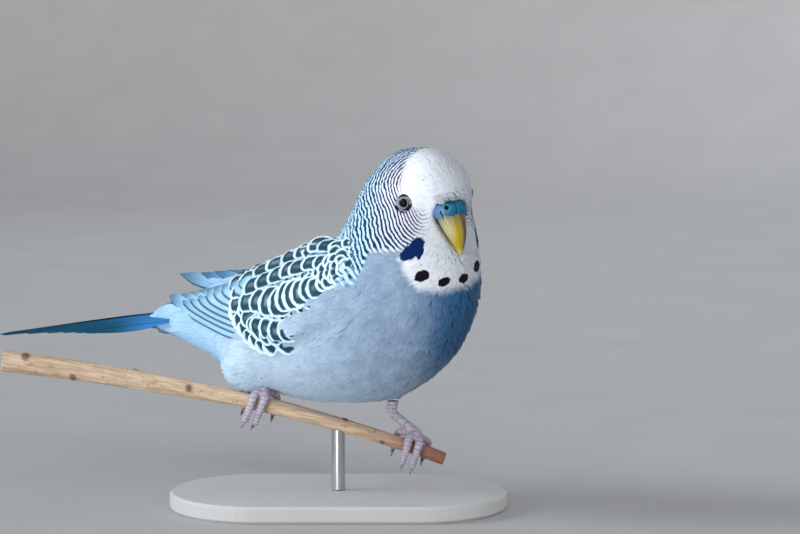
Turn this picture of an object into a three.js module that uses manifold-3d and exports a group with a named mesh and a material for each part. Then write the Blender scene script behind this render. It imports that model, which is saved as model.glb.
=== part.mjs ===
// A life-size budgerigar standing on a short length of twig, held over a plain display stand.
// Millimetres, +Z up. The bird faces -Y and its left side is +X. The origin is the middle of the
// stand's underside.
import * as THREE from "three";
import { mergeVertices } from "three/addons/utils/BufferGeometryUtils.js";
import Module from "manifold-3d";

const wasm = await Module();
wasm.setup();

// Driving sizes of the bird.
const HEAD_HEIGHT = 93.5; // middle of the head over the stand's underside
const HEAD_FORWARD = 30; // middle of the head ahead of the stand's middle
const HEAD_TURN = -13; // degrees about the vertical, towards the bird's right
const HEAD_TILT = -5; // degrees, crown towards the bird's right
const TAIL_LENGTH = 79; // from the rump to the tip of the middle feathers
const TAIL_DROP = 9.2; // degrees below level
const EYE_RADIUS = 2.5;
const GAP = 0.3; // between touching pieces

// Driving sizes of the twig and the stand.
const TWIG_BEARING = -53; // degrees from +X to the twig's thin end, seen from above
const BASE_LENGTH = 100;
const BASE_DEPTH = 54;
const BASE_THICKNESS = 5;
const ROD_RADIUS = 2;

const RING_SIDES = 24;

const COLOURS = {
  sky: 0x7fa3c9,
  white: 0xe8ecf2,
  wing: 0x55606e,
  tail: 0x1d5f8f,
  cere: 0x3f74ad,
  bill: 0xa89a3c,
  eye: 0x0a0a0d,
  skin: 0xa79db0,
  claw: 0x6f6f7c,
  twig: 0xb5926c,
  stand: 0xd9d7d2,
  steel: 0x9a9da0,
};

const meshes = new THREE.Group();

// Ways of making closed solids.

// A point by how far forward, how far to the bird's left and how high it is.
function at(forward, left, height) {
  return new THREE.Vector3(left, -forward, height);
}

function geometryFrom(points, faces) {
  const positions = new Float32Array(points.flatMap((p) => [p.x, p.y, p.z]));
  return new THREE.BufferGeometry()
    .setAttribute("position", new THREE.BufferAttribute(positions, 3))
    .setIndex(faces);
}

// A closed skin over rings of equal count, with a fan over each end.
function loft(rings) {
  const sides = rings[0].length;
  const points = rings.flat();
  const faces = [];
  for (let r = 0; r + 1 < rings.length; r++)
    for (let s = 0; s < sides; s++) {
      const a = r * sides + s;
      const b = r * sides + ((s + 1) % sides);
      faces.push(a, b, b + sides, a, b + sides, a + sides);
    }
  for (const [ring, start, flip] of [
    [rings[0], 0, true],
    [rings.at(-1), (rings.length - 1) * sides, false],
  ]) {
    const middle = points.length;
    points.push(ring.reduce((sum, p) => sum.add(p), new THREE.Vector3()).divideScalar(sides));
    for (let s = 0; s < sides; s++) {
      const a = start + s;
      const b = start + ((s + 1) % sides);
      faces.push(...(flip ? [middle, b, a] : [middle, a, b]));
    }
  }
  return solidOf(geometryFrom(points, faces));
}

// Rings may run either way round, so a solid that comes out inside out is turned.
function solidOf(geometry) {
  const bare = geometry.clone();
  bare.deleteAttribute("normal");
  bare.deleteAttribute("uv");
  const merged = mergeVertices(bare, 1e-4);
  const vertProperties = new Float32Array(merged.attributes.position.array);
  const triVerts = new Uint32Array(merged.index.array);
  const solid = new wasm.Manifold(new wasm.Mesh({ numProp: 3, vertProperties, triVerts }));
  if (solid.volume() > 0) return solid;
  const turned = triVerts.map((_, i) => triVerts[i - (i % 3) + ((3 - (i % 3)) % 3)]);
  return new wasm.Manifold(new wasm.Mesh({ numProp: 3, vertProperties, triVerts: turned }));
}

// Adds a piece to the model. Of a piece that its neighbours cut apart, the largest part is the piece.
function add(name, solid, color, roughness = 0.8, metalness = 0) {
  const whole = solid.decompose().sort((a, b) => b.volume() - a.volume())[0];
  const { vertProperties, triVerts } = whole.getMesh();
  const geometry = new THREE.BufferGeometry()
    .setAttribute("position", new THREE.BufferAttribute(vertProperties, 3))
    .setIndex(new THREE.BufferAttribute(triVerts, 1));
  const material = new THREE.MeshStandardMaterial({ color, roughness, metalness });
  const mesh = new THREE.Mesh(geometry, material);
  mesh.name = name;
  meshes.add(mesh);
}

const cut = (solid, ...rooms) => rooms.reduce((left, room) => left.subtract(room), solid);

function smooth(from, to, x) {
  const t = Math.min(1, Math.max(0, (x - from) / (to - from)));
  return t * t * (3 - 2 * t);
}

// A smooth run of numbers through evenly numbered stations.
function run(values) {
  const points = values.map((v) => new THREE.Vector3(...v));
  const curve = new THREE.CatmullRomCurve3(points, false, "catmullrom", 0.5);
  return (station) => curve.getPoint(station / (values.length - 1));
}

// A body of oval rings. Each station names its upper and lower point, seen from the side as forward
// and height, its half width, and how much fuller it is below than above.
function ovalBody(stations, settle = (p) => p) {
  const upper = run(stations.map((s) => [s.upper[0], s.upper[1], 0]));
  const lower = run(stations.map((s) => [s.lower[0], s.lower[1], 0]));
  const wide = run(stations.map((s) => [s.half, s.full ?? 0, 0]));
  return (station, grow = 0, sides = RING_SIDES) => {
    const [u, l, w] = [upper(station), lower(station), wide(station)];
    const half = Math.hypot(u.x - l.x, u.y - l.y) / 2;
    const tall = (half + grow) / half;
    return Array.from({ length: sides }, (_, i) => {
      const turn = (i / sides) * 2 * Math.PI;
      const across = (w.x + grow) * Math.sin(turn) * (1 - w.y * Math.cos(turn));
      const share = 0.5 + 0.5 * tall * Math.cos(turn);
      const p = at(l.x + (u.x - l.x) * share, across, l.y + (u.y - l.y) * share);
      return settle(p, station);
    });
  };
}

// A solid over a body's rings from one station to another.
function stretch(ring, from, to, steps, ...growth) {
  const stations = Array.from({ length: steps + 1 }, (_, i) => from + ((to - from) * i) / steps);
  return loft(stations.map((station) => ring(station, ...growth)));
}

// Points on the head are written from its middle: forward, left, up.
const headMiddle = at(HEAD_FORWARD, 0, HEAD_HEIGHT);
const headTurn = THREE.MathUtils.degToRad(HEAD_TURN);
const headTilt = THREE.MathUtils.degToRad(HEAD_TILT);

function turnHead(p, share = 1) {
  const turned = p.clone().sub(headMiddle);
  turned.applyAxisAngle(new THREE.Vector3(0, 1, 0), headTilt * share);
  turned.applyAxisAngle(new THREE.Vector3(0, 0, 1), headTurn * share);
  return turned.add(headMiddle);
}

function onHead(forward, left, up) {
  return turnHead(at(HEAD_FORWARD + forward, left, HEAD_HEIGHT + up));
}

// The body from the tail's root through the belly and neck to the face, out to the tips of its
// feathers. The first ten stations are the trunk, from behind; the last are the head, which turns.
const headStation = (upper, lower, half, full) => ({
  upper: [HEAD_FORWARD + upper[0], HEAD_HEIGHT + upper[1]],
  lower: [HEAD_FORWARD + lower[0], HEAD_HEIGHT + lower[1]],
  half,
  full,
});
const BODY = [
  { upper: [-64, 56], lower: [-67, 46.8], half: 5.5 },
  { upper: [-54, 61], lower: [-54, 43], half: 8.2 },
  { upper: [-44, 65.5], lower: [-43, 39.6], half: 11.8 },
  { upper: [-32, 70.6], lower: [-30, 34.4], half: 16.6 },
  { upper: [-20, 74.6], lower: [-15, 31.4], half: 20.5 },
  { upper: [-8, 77.6], lower: [2, 31.2], half: 22 },
  { upper: [1.5, 80.5], lower: [22, 34.4], half: 22.5 },
  { upper: [7.8, 86], lower: [38, 45.5], half: 21.5 },
  { upper: [11, 91.7], lower: [46, 59], half: 19.6 },
  { upper: [13, 97.2], lower: [47.5, 69.5], half: 17.5 },
  headStation([-13.5, 8.4], [15.5, -15], 15.2, 0.05),
  headStation([-7.5, 12.6], [13, -10.5], 13.8, 0.1),
  headStation([0, 13.8], [12.3, -8], 12.6, 0.1),
  headStation([7.5, 13.1], [12.3, -6.5], 10.8, 0.05),
  headStation([13, 8.8], [12.6, -5], 8.2),
  headStation([14.8, 4.4], [13.5, -2.6], 5.4),
  headStation([15, 2.2], [14.4, -0.2], 2.4),
];
const [RUMP_END, RUMP_CUT, NECK_CUT, HEAD_CUT, FACE] = [0, 2.5, 8.2, 10.1, 16];
const HALF_CUT = 0.015; // of a station, which leaves about the gap between cut faces
const bodyRing = ovalBody(BODY, (p, station) => turnHead(p, smooth(8, 11, station)));

// The bill and the cere over it, in the head's own frame.
const billRing = ovalBody(
  [
    headStation([15.2, -2.4], [9, -4.5], 4.9),
    headStation([16.9, -6.3], [10.4, -8.4], 4.4),
    headStation([17.6, -10], [12.1, -11.2], 3.3),
    headStation([17.2, -13.4], [14.0, -13.6], 2.0),
    headStation([16.2, -16.6], [15.6, -16.1], 0.5),
  ],
  (p) => turnHead(p),
);
const lowerBillRing = ovalBody(
  [
    headStation([9.8, -8.6], [7.2, -10.2], 3.6),
    headStation([11.5, -11.4], [9, -12.8], 3.0),
    headStation([13.4, -13.9], [12.3, -14.3], 1.2),
  ],
  (p) => turnHead(p),
);

// Two swollen lobes over the bill's root, as one arch from side to side.
function cere(grow = 0) {
  const LOBES = [
    { side: -5.8, forward: 11.3, up: -4.6, radius: 1.5 },
    { side: -3.1, forward: 13.5, up: -2.7, radius: 2.2 },
    { side: 0, forward: 14.5, up: -1.9, radius: 2.0 },
    { side: 3.1, forward: 13.5, up: -2.7, radius: 2.2 },
    { side: 5.8, forward: 11.3, up: -4.6, radius: 1.5 },
  ];
  const middle = run(LOBES.map((l) => [l.forward, l.side, l.up]));
  const thick = run(LOBES.map((l) => [l.radius, 0, 0]));
  const rings = Array.from({ length: 13 }, (_, i) => {
    const station = i / 3;
    const round = Math.sqrt(Math.max(0.06, 1 - Math.pow(station / 2 - 1, 6)));
    const [m, r] = [middle(station), (thick(station).x + grow) * round];
    return Array.from({ length: 12 }, (_, s) => {
      const turn = (s / 12) * 2 * Math.PI;
      return onHead(m.x + r * Math.cos(turn), m.y, m.z + r * 1.15 * Math.sin(turn));
    });
  });
  return loft(rings);
}

// A round tube along a curve, with its radius by share of the length.
function tube(curve, radiusAt, steps, sides = 10) {
  const frames = curve.computeFrenetFrames(steps, false);
  const rings = Array.from({ length: steps + 1 }, (_, i) => {
    const middle = curve.getPointAt(i / steps);
    const radius = radiusAt(i / steps);
    return Array.from({ length: sides }, (_, s) => {
      const turn = (s / sides) * 2 * Math.PI;
      return middle
        .clone()
        .addScaledVector(frames.normals[i], Math.cos(turn) * radius)
        .addScaledVector(frames.binormals[i], Math.sin(turn) * radius);
    });
  });
  return loft(rings);
}

function ball(middle, radius, across = 14, down = 9) {
  const geometry = new THREE.SphereGeometry(radius, across, down);
  return solidOf(geometry.translate(middle.x, middle.y, middle.z));
}

// The twig runs past under the bird. A place on it is its distance along from over the stand's middle.
const twigHeading = new THREE.Vector3(1, 0, 0).applyAxisAngle(
  new THREE.Vector3(0, 0, 1),
  THREE.MathUtils.degToRad(TWIG_BEARING),
);
const TWIG = [
  { along: -99, height: 43.6, radius: 3.4 },
  { along: -75, height: 40.3, radius: 3.1 },
  { along: -49, height: 36, radius: 2.8 },
  { along: -25, height: 31.3, radius: 2.5 },
  { along: -2, height: 25.1, radius: 2.35 },
  { along: 21.5, height: 18, radius: 2.1 },
  { along: 31.5, height: 14.2, radius: 2.0 },
];
const twigCurve = new THREE.CatmullRomCurve3(
  TWIG.map((t) => twigHeading.clone().multiplyScalar(t.along).setZ(t.height)),
  false,
  "catmullrom",
  0.5,
);
const twigRun = run(TWIG.map((t) => [t.along, t.height, t.radius]));

function onTwig(along) {
  let [low, high] = [0, TWIG.length - 1];
  for (let i = 0; i < 40; i++) {
    const middle = (low + high) / 2;
    if (twigRun(middle).x < along) low = middle;
    else high = middle;
  }
  const found = twigRun(low);
  const middle = twigHeading.clone().multiplyScalar(along).setZ(found.y);
  const heading = twigCurve.getTangent(low / (TWIG.length - 1));
  const front = new THREE.Vector3().crossVectors(heading, new THREE.Vector3(0, 0, 1)).normalize();
  const top = new THREE.Vector3().crossVectors(front, heading).normalize();
  return { middle, front, top, radius: found.z };
}

function twig(grow = 0) {
  return tube(twigCurve, (s) => twigRun(s * (TWIG.length - 1)).z + grow, 20, 12);
}

// The feet: two toes before the twig and two behind it. Each toe's path and its claw's are written
// across the twig, as forward and up in shares of the toe's distance from the twig's middle, then
// as a plain drop in millimetres.
const FRONT_TOE = {
  path: [[0.2, 0.98, 0], [0.8, 0.66, 0], [1, 0, 0], [1, -0.7, 0.2], [0.8, -1, 1.6]],
  claw: [[0.7, -1, 2.4], [0.3, -1, 4.2]],
};
const REAR_TOE = {
  path: [[-0.2, 0.98, 0], [-0.8, 0.66, 0], [-1, 0, 0], [-0.8, -0.75, 0.2]],
  claw: [[-0.62, -1, 0.1], [-0.05, -1, 0.9]],
};
const TOES = [
  { name: "inner_front", aside: -1.5, bent: FRONT_TOE, radius: 1.3 },
  { name: "outer_front", aside: 1.5, bent: FRONT_TOE, radius: 1.35 },
  { name: "inner_rear", aside: -4.6, bent: REAR_TOE, radius: 1.15 },
  { name: "outer_rear", aside: 4.4, bent: REAR_TOE, radius: 1.15 },
];
const CLAW_RADIUS = 0.65;

// Each leg: where its foot stands along the twig, how far its front toes lean along it, its heel,
// and level slices down its feathered thigh as forward, left, height and radius.
const FEET = {
  right: {
    along: -23.2,
    lean: -2.2,
    heel: at(-21, -13.6, 31.2),
    thigh: [
      [-14, -10, 55, 8],
      [-17, -10.3, 50, 12],
      [-21.5, -10.8, 45, 13],
      [-24.5, -11.3, 41, 12],
      [-25.2, -11.9, 38, 10],
      [-24.6, -12.6, 35.5, 7.5],
      [-22.6, -13.3, 32.8, 3.2],
    ],
  },
  left: {
    along: 21.6,
    lean: 0.6,
    heel: at(10.3, 12.6, 28),
    thigh: [
      [3, 8.5, 50, 7],
      [5, 9.3, 45, 9.5],
      [8, 10.5, 40, 9.5],
      [10, 11.3, 36.5, 7],
      [11, 11.9, 33.5, 4],
      [11.2, 12.2, 31.5, 2.4],
    ],
  },
};
const SHANK_RADIUS = 1.55;

function acrossTwig(place, [forward, up, drop], round) {
  return place.middle
    .clone()
    .addScaledVector(place.front, forward * round)
    .addScaledVector(place.top, up * round - drop);
}

function toeCurves(foot, toe) {
  const { path, claw } = toe.bent;
  const lean = toe.bent === FRONT_TOE ? foot.lean : 0;
  const count = path.length + claw.length - 1;
  const points = [...path, ...claw].map((p, i) => {
    const place = onTwig(foot.along + toe.aside * Math.min(1, 0.35 + i * 0.65) + (lean * i) / count);
    return acrossTwig(place, p, place.radius + GAP + toe.radius);
  });
  const bend = new THREE.CatmullRomCurve3(points.slice(0, path.length));
  return { bend, hook: new THREE.CatmullRomCurve3([bend.getPoint(1), ...points.slice(path.length)]) };
}

// A toe thins to its tip and swells at each pad.
function padded(toe, grow) {
  return (s) => grow + toe.radius * (1 - 0.25 * s) * (1 + 0.06 * Math.cos(s * 6 * Math.PI));
}

function toe(foot, shape, grow = 0) {
  return tube(toeCurves(foot, shape).bend, padded(shape, grow), 9, 8);
}

function claw(foot, shape) {
  return tube(toeCurves(foot, shape).hook, (s) => CLAW_RADIUS * (1 - 0.65 * s), 5, 6);
}

function shank(foot) {
  const place = onTwig(foot.along);
  const sole = acrossTwig(place, [0, 1, -1.6], place.radius + GAP);
  const [forward, left, height] = foot.thigh.at(-1);
  const shin = foot.heel.clone().lerp(sole, 0.5);
  const path = new THREE.CatmullRomCurve3([at(forward, left, height), foot.heel, shin, sole]);
  const bone = tube(path, (s) => SHANK_RADIUS * (1 + 0.15 * Math.cos(s * 2 * Math.PI)), 9, 10);
  return bone.add(ball(sole, 2, 10, 6));
}

function thigh(foot, grow = 0) {
  const middle = run(foot.thigh.map(([forward, left, height]) => [forward, left, height]));
  const radius = run(foot.thigh.map((slice) => [slice[3], 0, 0]));
  const SLICES = 10;
  const SIDES = 18;
  const rings = Array.from({ length: SLICES + 1 }, (_, i) => {
    const station = (i / SLICES) * (foot.thigh.length - 1);
    const [m, r] = [middle(station), radius(station).x + grow];
    const rim = i === 0 ? grow : i === SLICES ? -grow : 0;
    return Array.from({ length: SIDES }, (_, s) => {
      const turn = (s / SIDES) * 2 * Math.PI;
      return at(m.x + r * Math.cos(turn), m.y + r * Math.sin(turn), m.z + rim);
    });
  });
  return loft(rings);
}

// A wing, folded: each station names its lower and upper edge as left and height, how far it
// bulges between them and how thick it is there.
const WING = [
  { forward: 22, lower: [-21.2, 65], upper: [-19, 75], bulge: 1.0, thick: 1.2 },
  { forward: 18, lower: [-22.6, 60.5], upper: [-16.5, 79.5], bulge: 3.2, thick: 3.2 },
  { forward: 8, lower: [-24.2, 55.5], upper: [-13.5, 81.3], bulge: 5.4, thick: 4.0 },
  { forward: -2, lower: [-24.2, 50], upper: [-11.5, 79.5], bulge: 6.2, thick: 4.0 },
  { forward: -13, lower: [-22.8, 47], upper: [-10, 76.3], bulge: 6.0, thick: 3.6 },
  { forward: -24, lower: [-20, 47.8], upper: [-8.5, 72.5], bulge: 5.0, thick: 3.0 },
  { forward: -34, lower: [-16.6, 52.4], upper: [-7.5, 68], bulge: 3.6, thick: 2.2 },
  { forward: -44, lower: [-12.6, 55.3], upper: [-5.5, 65], bulge: 2.2, thick: 1.6 },
  { forward: -55, lower: [-8, 57.6], upper: [-3, 63], bulge: 1.0, thick: 1.1 },
  { forward: -66, lower: [-3.6, 59], upper: [-1.2, 61], bulge: 0.3, thick: 0.8 },
];
const PRIMARY_CUT = 5.9;
const WING_EDGE = 0.7; // thickness of a wing at its rim

function wingRing(side, tipLift) {
  const lower = run(WING.map((w) => [w.lower[0], -w.forward, w.lower[1]]));
  const upper = run(WING.map((w) => [w.upper[0], -w.forward, w.upper[1]]));
  const shape = run(WING.map((w) => [w.bulge, w.thick, 0]));
  const POINTS = 7;
  return (station, grow = 0, cover = 0) => {
    const [l, u, s] = [lower(station), upper(station), shape(station)];
    const out = new THREE.Vector3(l.z - u.z, 0, u.x - l.x).normalize();
    const lift = tipLift * smooth(4, WING.length - 1, station);
    const along = u.clone().sub(l).normalize();
    const point = (share, inside) => {
      const crown = 4 * share * (1 - share);
      const p = l.clone().lerp(u, share);
      p.addScaledVector(along, grow * (2 * share - 1));
      const depth = WING_EDGE + (s.y - WING_EDGE) * crown;
      p.addScaledVector(out, s.x * crown + (inside ? -depth - grow : grow + cover));
      return new THREE.Vector3(side * -p.x, p.y, p.z + lift);
    };
    const outer = Array.from({ length: POINTS }, (_, i) => point(i / (POINTS - 1), false));
    const inner = Array.from({ length: POINTS }, (_, i) => point(1 - i / (POINTS - 1), true));
    return [...outer, ...inner];
  };
}

// The tail feathers as one arched blade that narrows in steps to the middle pair.
function tail() {
  const root = at(-66, 0, 52.8);
  const drop = THREE.MathUtils.degToRad(TAIL_DROP);
  const back = new THREE.Vector3(0, Math.cos(drop), -Math.sin(drop));
  const STEPS = 16;
  const rings = Array.from({ length: STEPS + 1 }, (_, i) => {
    const share = i / STEPS;
    const middle = root.clone().addScaledVector(back, share * TAIL_LENGTH);
    const outerPairs = 5.6 * (1 - smooth(0.12, 0.62, share));
    const half = 0.5 + outerPairs + 2.4 * (1 - smooth(0.72, 1.0, share));
    const arch = 0.55 + 5.5 * share * (1 - share);
    const thick = 0.75 + 1.9 * (1 - share) ** 2;
    const across = [-1, -0.5, 0, 0.5, 1];
    const line = (x, top) => {
      const rise = arch * (1 - x * x) + (top ? thick : 0);
      return middle.clone().add(new THREE.Vector3(x * half, 0, rise - arch / 2));
    };
    return [...across.map((x) => line(x, true)), ...across.reverse().map((x) => line(x, false))];
  });
  return loft(rings);
}

// Putting the bird together: what lies on top cuts its room out of what is under it.
const eyes = { right: onHead(6.3, -11.3, -0.9), left: onHead(6.3, 11.3, -0.9) };
const wings = { right: wingRing(-1, 0), left: wingRing(1, 6.3) };
const billRoom = stretch(billRing, 0, 4, 6, GAP, 12);
const wingRoom = Object.values(wings).map((ring) => stretch(ring, 0, WING.length - 1, 18, GAP, 6));
const thighRoom = Object.values(FEET).map((foot) => thigh(foot, GAP));
const perchRoom = twig(GAP);
const toeRoom = Object.values(FEET).flatMap((foot) => TOES.map((shape) => toe(foot, shape, GAP)));

const faceRoom = [
  cere(GAP),
  billRoom,
  stretch(lowerBillRing, 0, 2, 4, GAP, 10),
  ...Object.values(eyes).map((eye) => ball(eye, EYE_RADIUS + GAP)),
];
const head = stretch(bodyRing, HEAD_CUT + HALF_CUT, FACE, 16);
add("head", cut(head, ...faceRoom), COLOURS.white);
const neck = stretch(bodyRing, NECK_CUT + HALF_CUT, HEAD_CUT - HALF_CUT, 6);
add("neck", cut(neck, ...faceRoom, ...wingRoom), COLOURS.white);
add("cere", cut(cere(), billRoom), COLOURS.cere, 0.45);
add("bill_upper", stretch(billRing, 0, 4, 8, 0, 12), COLOURS.bill, 0.4);
add("bill_lower", cut(stretch(lowerBillRing, 0, 2, 4, 0, 10), billRoom), COLOURS.bill, 0.4);
for (const [side, middle] of Object.entries(eyes)) {
  add(`eye_${side}`, ball(middle, EYE_RADIUS), COLOURS.eye, 0.1);
}

const trunk = stretch(bodyRing, RUMP_CUT + HALF_CUT, NECK_CUT - HALF_CUT, 16);
add("trunk", cut(trunk, ...wingRoom, ...thighRoom, ...toeRoom), COLOURS.sky);
const rump = stretch(bodyRing, RUMP_END, RUMP_CUT - HALF_CUT, 5);
add("rump", cut(rump, ...wingRoom, ...thighRoom), COLOURS.sky);
add("tail", tail(), COLOURS.tail);
for (const [side, ring] of Object.entries(wings)) {
  add(`wing_${side}`, stretch(ring, 0, PRIMARY_CUT - HALF_CUT, 12), COLOURS.wing);
  add(`primaries_${side}`, stretch(ring, PRIMARY_CUT + HALF_CUT, WING.length - 1, 10), COLOURS.wing);
}
for (const [side, foot] of Object.entries(FEET)) {
  add(`thigh_${side}`, cut(thigh(foot), ...wingRoom, perchRoom, ...toeRoom), COLOURS.sky);
  add(`shank_${side}`, cut(shank(foot), thigh(foot, GAP), perchRoom, ...toeRoom), COLOURS.skin, 0.6);
  TOES.forEach((shape, i) => {
    const others = TOES.slice(0, i).map((other) => toe(foot, other, GAP));
    add(`toe_${side}_${shape.name}`, cut(toe(foot, shape), ...others), COLOURS.skin, 0.6);
    add(`claw_${side}_${shape.name}`, cut(claw(foot, shape), ...toeRoom), COLOURS.claw, 0.4);
  });
}

// The perch and its stand.
add("perch", twig(), COLOURS.twig, 0.7);

function base() {
  const corner = BASE_DEPTH / 2;
  const half = BASE_LENGTH / 2 - corner;
  const outline = new THREE.Shape();
  outline.absarc(half, 0, corner, -Math.PI / 2, Math.PI / 2);
  outline.absarc(-half, 0, corner, Math.PI / 2, (3 * Math.PI) / 2);
  const bevel = 0.8;
  const slab = new THREE.ExtrudeGeometry(outline, {
    depth: BASE_THICKNESS - 2 * bevel,
    bevelThickness: bevel,
    bevelSize: bevel,
    bevelOffset: -bevel,
    bevelSegments: 1,
    curveSegments: 14,
  });
  slab.translate(0, 0, bevel);
  slab.rotateZ(THREE.MathUtils.degToRad(TWIG_BEARING));
  return solidOf(slab);
}
add("stand_base", base(), COLOURS.stand, 0.5);
const post = new THREE.CylinderGeometry(ROD_RADIUS, ROD_RADIUS, 26, 20).rotateX(Math.PI / 2);
post.translate(0, 0, BASE_THICKNESS + GAP + 13);
add("stand_rod", cut(solidOf(post), perchRoom), COLOURS.steel, 0.3, 1);

export default meshes;
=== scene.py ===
import math

import bpy
import numpy as np
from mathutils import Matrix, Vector, kdtree
from mathutils.bvhtree import BVHTree


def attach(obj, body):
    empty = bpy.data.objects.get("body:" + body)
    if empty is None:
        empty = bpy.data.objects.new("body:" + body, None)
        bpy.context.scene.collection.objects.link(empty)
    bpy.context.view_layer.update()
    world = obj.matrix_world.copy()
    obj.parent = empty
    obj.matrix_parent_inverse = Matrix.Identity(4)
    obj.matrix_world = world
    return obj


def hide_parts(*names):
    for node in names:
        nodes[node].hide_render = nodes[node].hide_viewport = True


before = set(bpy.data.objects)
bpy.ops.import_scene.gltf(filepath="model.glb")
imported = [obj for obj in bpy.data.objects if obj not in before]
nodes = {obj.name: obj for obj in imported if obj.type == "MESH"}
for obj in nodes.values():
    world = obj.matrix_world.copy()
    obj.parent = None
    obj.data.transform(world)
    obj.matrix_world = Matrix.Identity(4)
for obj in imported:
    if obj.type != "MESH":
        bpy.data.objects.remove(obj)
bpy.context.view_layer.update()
MM = 0.001

# Camera. It looks slightly down on the bird's right front from a short distance, and is placed
# so that the middle of the head falls where it does in the 800 x 534 picture.
PICTURE_WIDTH, PICTURE_HEIGHT = 800, 534
VIEW_BEARING = math.radians(53)
VIEW_DROP = math.radians(5)
VIEW_DISTANCE = 0.62
PIXEL = 0.285 * MM
SENSOR = 36
HEAD_PIXEL = (420, 195)
HEAD_MIDDLE = Vector((0, -30, 93.5))
sight = Vector((
    math.sin(VIEW_BEARING) * math.cos(VIEW_DROP),
    math.cos(VIEW_BEARING) * math.cos(VIEW_DROP),
    -math.sin(VIEW_DROP),
))
rightwards = Vector((math.cos(VIEW_BEARING), -math.sin(VIEW_BEARING), 0))
upwards = rightwards.cross(sight)
aim = HEAD_MIDDLE * MM
aim += rightwards * (PICTURE_WIDTH / 2 - HEAD_PIXEL[0]) * PIXEL
aim += upwards * (HEAD_PIXEL[1] - PICTURE_HEIGHT / 2) * PIXEL
bpy.ops.object.select_all(action="DESELECT")
bpy.ops.object.camera_add(
    location=aim - sight * VIEW_DISTANCE,
    rotation=(math.pi / 2 - VIEW_DROP, 0, -VIEW_BEARING),
)
camera = bpy.context.object
camera.data.sensor_width = SENSOR
camera.data.lens = SENSOR * VIEW_DISTANCE / (PIXEL * PICTURE_WIDTH)
camera.data.clip_start = 0.01
bpy.context.scene.camera = camera
bpy.context.scene.view_settings.view_transform = "Standard"


# Floor. A plain pale sheet of matt card lies level under the stand and curves up far behind it
# all round, so that no line shows where it ends.
class Wire:
    """One output in a material. Sums written with it become Math nodes."""

    def __init__(self, tree, socket=None):
        self.tree = tree
        self.socket = socket

    def node(self, kind, settings, sockets, output=0):
        """Any other node: its type, its settings, then its sockets' values or wires."""
        made = self.tree.nodes.new("ShaderNode" + kind)
        for name, value in settings.items():
            setattr(made, name, value)
        for name, value in sockets.items():
            if isinstance(value, Wire):
                self.tree.links.new(value.socket, made.inputs[name])
            elif hasattr(value, "__len__") and made.inputs[name].type == "RGBA":
                made.inputs[name].default_value = (*value, 1)
            else:
                made.inputs[name].default_value = value
        return Wire(self.tree, made.outputs[output])

    def sum(self, operation, *values):
        return self.node("Math", {"operation": operation}, dict(enumerate(values)))

    def __add__(self, other):
        return self.sum("ADD", self, other)

    __radd__ = __add__

    def __sub__(self, other):
        return self.sum("SUBTRACT", self, other)

    def __rsub__(self, other):
        return self.sum("SUBTRACT", other, self)

    def __mul__(self, other):
        return self.sum("MULTIPLY", self, other)

    __rmul__ = __mul__

    def __truediv__(self, other):
        return self.sum("DIVIDE", self, other)

    def __rtruediv__(self, other):
        return self.sum("DIVIDE", other, self)

    def __pow__(self, other):
        return self.sum("POWER", self, other)

    def __abs__(self):
        return self.sum("ABSOLUTE", self)

    def wave(self):
        return self.sum("SINE", self)

    def above(self, other):
        return self.sum("MAXIMUM", self, other)

    def below(self, other):
        return self.sum("MINIMUM", self, other)

    def step(self, low, high):
        """0 below low, 1 above high, and smooth between."""
        sockets = {"Value": self, "From Min": low, "From Max": high}
        return self.node("MapRange", {"interpolation_type": "SMOOTHSTEP"}, sockets)

    def inside(self, low, high, soft):
        return self.step(low - soft, low + soft) * (1 - self.step(high - soft, high + soft))

    def parts(self):
        return [self.node("SeparateXYZ", {}, {0: self}, axis) for axis in range(3)]

    def away(self, other, *scale):
        """The distance to another point, after both are stretched by scale."""
        gap = self.node("VectorMath", {"operation": "SUBTRACT"}, {0: self, 1: other})
        if scale:
            gap = gap.stretched(*scale)
        return gap.node("VectorMath", {"operation": "LENGTH"}, {0: gap}, 1)

    def noise(self, scale, detail=2, rough=0.5):
        sockets = {"Vector": self, "Scale": scale, "Detail": detail, "Roughness": rough}
        return self.node("TexNoise", {}, sockets)

    def stretched(self, *scale):
        return self.node("VectorMath", {"operation": "MULTIPLY"}, {0: self, 1: scale})

    def tint(self, share, first, second):
        """A colour between two, by share."""
        sockets = {0: share, 6: first, 7: second}
        return self.node("Mix", {"data_type": "RGBA"}, sockets, 2)

    def bumped(self, distance, strength=1):
        sockets = {"Height": self, "Distance": distance, "Strength": strength}
        return self.node("Bump", {}, sockets)


def finish_named(name, **constants):
    """A new material: its shader, and a wire to draw the rest from."""
    material = bpy.data.materials.new(name)
    material.use_nodes = True
    shader = material.node_tree.nodes["Principled BSDF"]
    for socket, value in constants.items():
        shader.inputs[socket.replace("_", " ")].default_value = value
    return material, shader, Wire(material.node_tree)


def feed(shader, **wires):
    """Links wires to the sockets of a shader."""
    for socket, wire in wires.items():
        shader.id_data.links.new(wire.socket, shader.inputs[socket.replace("_", " ")])


def object_place(wire):
    """Where on the model, in millimetres."""
    place = wire.node("TexCoord", {}, {}, "Object")
    return place.node("VectorMath", {"operation": "SCALE"}, {0: place, "Scale": 1 / MM})


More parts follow.
